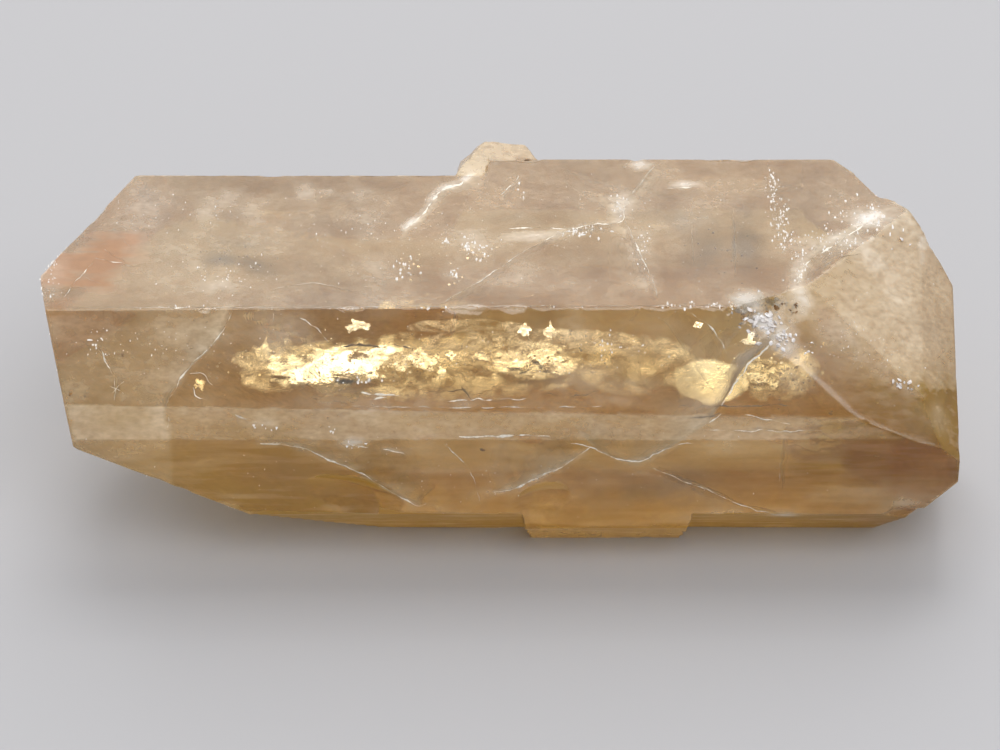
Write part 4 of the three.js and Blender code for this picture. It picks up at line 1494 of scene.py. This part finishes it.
# flakes, pits and chips: those on the top face by x, y, spread along each, count and size; a
# centre lies outside the face that its flakes drop on
topFlakes = [
    (-3.4, -0.9, 0.22, 0.45, 20, 0.042),
    (-1.96, 0.5, 0.12, 0.20, 8, 0.045),
    (-1.08, 0.25, 0.12, 0.30, 12, 0.050),
    (-0.58, -0.1, 0.30, 0.25, 18, 0.048),
    (-1.56, -1.4, 0.12, 0.20, 10, 0.045),
    (0.81, 3.3, 0.10, 0.15, 4, 0.050),
    (3.1, 0.95, 0.50, 0.18, 34, 0.045),
    (4.5, 2.4, 0.12, 0.30, 12, 0.045),
    (5.2, 0.2, 0.22, 0.90, 20, 0.030),
    (-11.5, 2.4, 1.30, 0.80, 34, 0.022),
    (-9.6, -1.6, 1.00, 0.50, 44, 0.024),
    (-4.8, 1.2, 0.70, 0.40, 14, 0.024),
    (0.0, 0.5, 7.00, 2.20, 260, 0.016),
    (-2.0, -3.22, 5.50, 0.06, 16, 0.020),
    (-11.5, -3.22, 0.60, 0.08, 9, 0.035),
    (-2.4, -3.22, 0.60, 0.08, 7, 0.035),
    (7.5, -3.1, 1.00, 0.10, 22, 0.040),
    (13.5, 1.7, 0.50, 0.50, 60, 0.045),
    (12.2, 0.5, 0.60, 0.50, 50, 0.035),
    (11.0, -1.0, 0.15, 0.60, 30, 0.040),
    (-16.2, -1.4, 0.20, 0.80, 40, 0.030),
    (10.1, 3.4, 0.10, 1.10, 50, 0.034),
    (10.4, 1.2, 0.16, 0.90, 70, 0.036),
]
flakeLook = {
    "clusters": [
        *(((x, y, top + 0.2), (spreadX, spreadY, 0.01), count, size)
          for x, y, spreadX, spreadY, count, size in topFlakes),
        # the next three clusters of white flakes low on the front are painted glints
        ((-8.3, -6.2, 7.0), (0.30, 0.10, 0.12), 6, 0.050),
        ((-6.0, -6.2, 6.9), (0.25, 0.10, 0.06), 4, 0.045),
        ((-5.2, -6.4, 6.2), (0.35, 0.10, 0.12), 8, 0.045),
        ((-4.6, -4.9, 8.3), (0.60, 0.10, 0.06), 14, 0.045),
        ((4.1, -4.6, 9.6), (0.50, 0.10, 0.28), 26, 0.030),
        ((-14.4, -4.4, 9.7), (0.20, 0.10, 0.20), 8, 0.045),
        ((-13.0, -4.6, 9.6), (1.60, 0.20, 0.60), 60, 0.020),
        ((-1.0, -4.9, 9.2), (6.00, 0.30, 0.60), 120, 0.016),
        ((13.6, -4.0, 9.6), (1.40, 0.80, 0.60), 60, 0.016),
        ((0.0, -6.4, 4.6), (8.50, 0.10, 1.10), 120, 0.015),
    ],
    "depth": -0.003,
    "seed": 61,
    "flatness": 0.12,
    "lean": 0.05,
    "facing": (0, -0.35, 0.93),
    "sides": 7,
    "stretch": 3.0,
    "material": "flake",
    "dark": (0.82, 0.74, 0.66),
    "light": (0.98, 0.96, 0.93),
    "roughness": 0.3,
    "metallic": 0.0,
}

keepGrains("flakes", flakeLook)

# trails of bubbles under the top face
bubbleLook = {
    "clusters": [
        ((10.05, 4.2, 9.8), (0.10, 0.5, 0.08), 18, 0.040),
        ((10.2, 2.6, 9.8), (0.10, 0.6, 0.08), 20, 0.045),
        ((10.35, 0.9, 9.8), (0.12, 0.6, 0.08), 26, 0.055),
        ((10.8, 0.4, 9.8), (0.10, 0.4, 0.08), 14, 0.045),
        ((6.2, 2.6, 9.7), (0.8, 0.5, 0.1), 18, 0.030),
        ((2.9, -3.6, 9.2), (0.35, 0.15, 0.25), 16, 0.040),
        ((3.6, -4.0, 8.6), (0.25, 0.12, 0.2), 10, 0.045),
    ],
    "depth": 0.10,
    "seed": 41,
    "flatness": 0.9,
    "lean": 0.5,
    "facing": (0, 0, 1),
    "sides": 8,
    "stretch": 1.0,
    "material": "bubble",
    "dark": (0.80, 0.75, 0.70),
    "light": (0.98, 0.97, 0.96),
    "roughness": 0.15,
    "metallic": 0.2,
}

keepGrains("bubbles", bubbleLook)

# dark iron specks
speckLook = {
    "clusters": [
        ((-0.57, -5.5, 5.64), (0.02, 0.02, 0.02), 3, 0.10),
        ((1.1, 5.1, 10.2), (0.04, 0.04, 0.02), 3, 0.12),
        ((-15.3, -5.2, 7.83), (0.05, 0.02, 0.05), 3, 0.09),
        ((-14.7, -5.2, 7.83), (0.05, 0.02, 0.05), 3, 0.07),
        ((-13.5, -4.3, 9.0), (0.08, 0.04, 0.06), 4, 0.07),
        ((-14.7, -3.7, 9.85), (0.06, 0.03, 0.04), 3, 0.06),
        ((9.95, -2.7, 10.05), (0.22, 0.15, 0.06), 40, 0.10),
        ((10.7, -2.9, 9.9), (0.15, 0.15, 0.10), 14, 0.09),
        ((-9.6, -0.4, 9.9), (1.2, 0.5, 0.1), 34, 0.05),
        ((1.2, -1.0, 9.9), (2.2, 0.9, 0.1), 30, 0.035),
        ((8.3, 0.3, 9.7), (1.0, 1.2, 0.2), 40, 0.045),
        ((-15.0, 0.0, 10.0), (0.6, 0.9, 0.1), 30, 0.045),
    ],
    "depth": 0.03,
    "seed": 51,
    "flatness": 0.5,
    "lean": 0.6,
    "facing": (0, 0, 1),
    "sides": 6,
    "stretch": 1.0,
    "material": "ironSpeck",
    "dark": (0.10, 0.05, 0.02),
    "light": (0.38, 0.20, 0.07),
    "roughness": 0.6,
    "metallic": 0.0,
}

keepGrains("ironSpecks", speckLook)


def stage():
    # a pale floor, a hair under the resting face
    side, z = 3.0, -0.02 * mm
    mesh = bpy.data.meshes.new("floor")
    corners = [(-side, -side, z), (side, -side, z), (side, side, z), (-side, side, z)]
    mesh.from_pydata(corners, [], [(0, 1, 2, 3)])
    floor = bpy.data.objects.new("floor", mesh)
    bpy.context.scene.collection.objects.link(floor)
    material, tree, shader = newMaterial("paleFloor")
    setShader(tree, shader, Base_Color=(0.52, 0.52, 0.54), Roughness=0.7)
    floor.data.materials.append(material)


def softbox(name, place, width, height, power, colour):
    # an area light that looks at the crystal's middle
    data = bpy.data.lights.new(name, "AREA")
    data.shape = "RECTANGLE"
    data.size, data.size_y = width, height
    data.energy = power
    data.color = colour
    lamp = bpy.data.objects.new(name, data)
    lamp.location = place
    lamp.rotation_mode = "QUATERNION"
    aim = Vector(crystalMiddle) - Vector(place)
    lamp.rotation_quaternion = aim.to_track_quat("-Z", "Y")
    bpy.context.scene.collection.objects.link(lamp)


# metres and degrees; lens and sensor in millimetres
cameraSetup = {
    "distance": 0.176,
    "elevation": 42.0,
    "lens": 170.0,
    "sensor": 36,
    "target": (0.0, 0.0, 0.00395),
}


def makeCamera():
    # it looks at the target from the front, along a line raised by the elevation
    c = cameraSetup
    data = bpy.data.cameras.new("camera")
    data.lens = c["lens"]
    data.sensor_width = c["sensor"]
    data.clip_start, data.clip_end = 0.005, 50
    camera = bpy.data.objects.new("camera", data)
    e = math.radians(c["elevation"])
    back = Vector((0, -math.cos(e), math.sin(e)))
    camera.location = Vector(c["target"]) + back * c["distance"]
    camera.rotation_mode = "QUATERNION"
    camera.rotation_quaternion = (-back).to_track_quat("-Z", "Y")
    bpy.context.scene.collection.objects.link(camera)
    bpy.context.scene.camera = camera


def makeWorld(colour, strength):
    # even light from all round
    world = bpy.data.worlds.new("studio")
    bpy.context.scene.world = world
    world.use_nodes = True
    background = world.node_tree.nodes["Background"]
    background.inputs["Color"].default_value = (*colour, 1)
    background.inputs["Strength"].default_value = strength


# place, width, height, power and colour of each softbox, in metres and watts: the one behind
# makes the films inside flash, the one overhead whitens their steepest parts
crystalMiddle = (0, 0, 0.005)
softboxes = {
    "backBox": ((0.0, 0.42, 0.40), 0.60, 0.40, 1.1, (1, 0.98, 0.95)),
    "topBox": ((0.0, 0.19, 0.53), 0.24, 0.20, 0.7, (1, 0.99, 0.97)),
    "frontBox": ((0.12, -0.24, 0.46), 0.35, 0.30, 0.9, (1, 1, 1)),
}

stage()
makeWorld((0.92, 0.92, 0.93), 0.55)
makeCamera()
for name, setup in softboxes.items():
    softbox(name, *setup)
# light passes through many films and veils before it leaves the crystal
cycles = bpy.context.scene.cycles
cycles.max_bounces = 9
cycles.transmission_bounces = 9
cycles.glossy_bounces = 6
cycles.diffuse_bounces = 3
cycles.transparent_max_bounces = 12
bpy.context.scene.view_settings.view_transform = "Standard"
print("stage, lights and camera set")
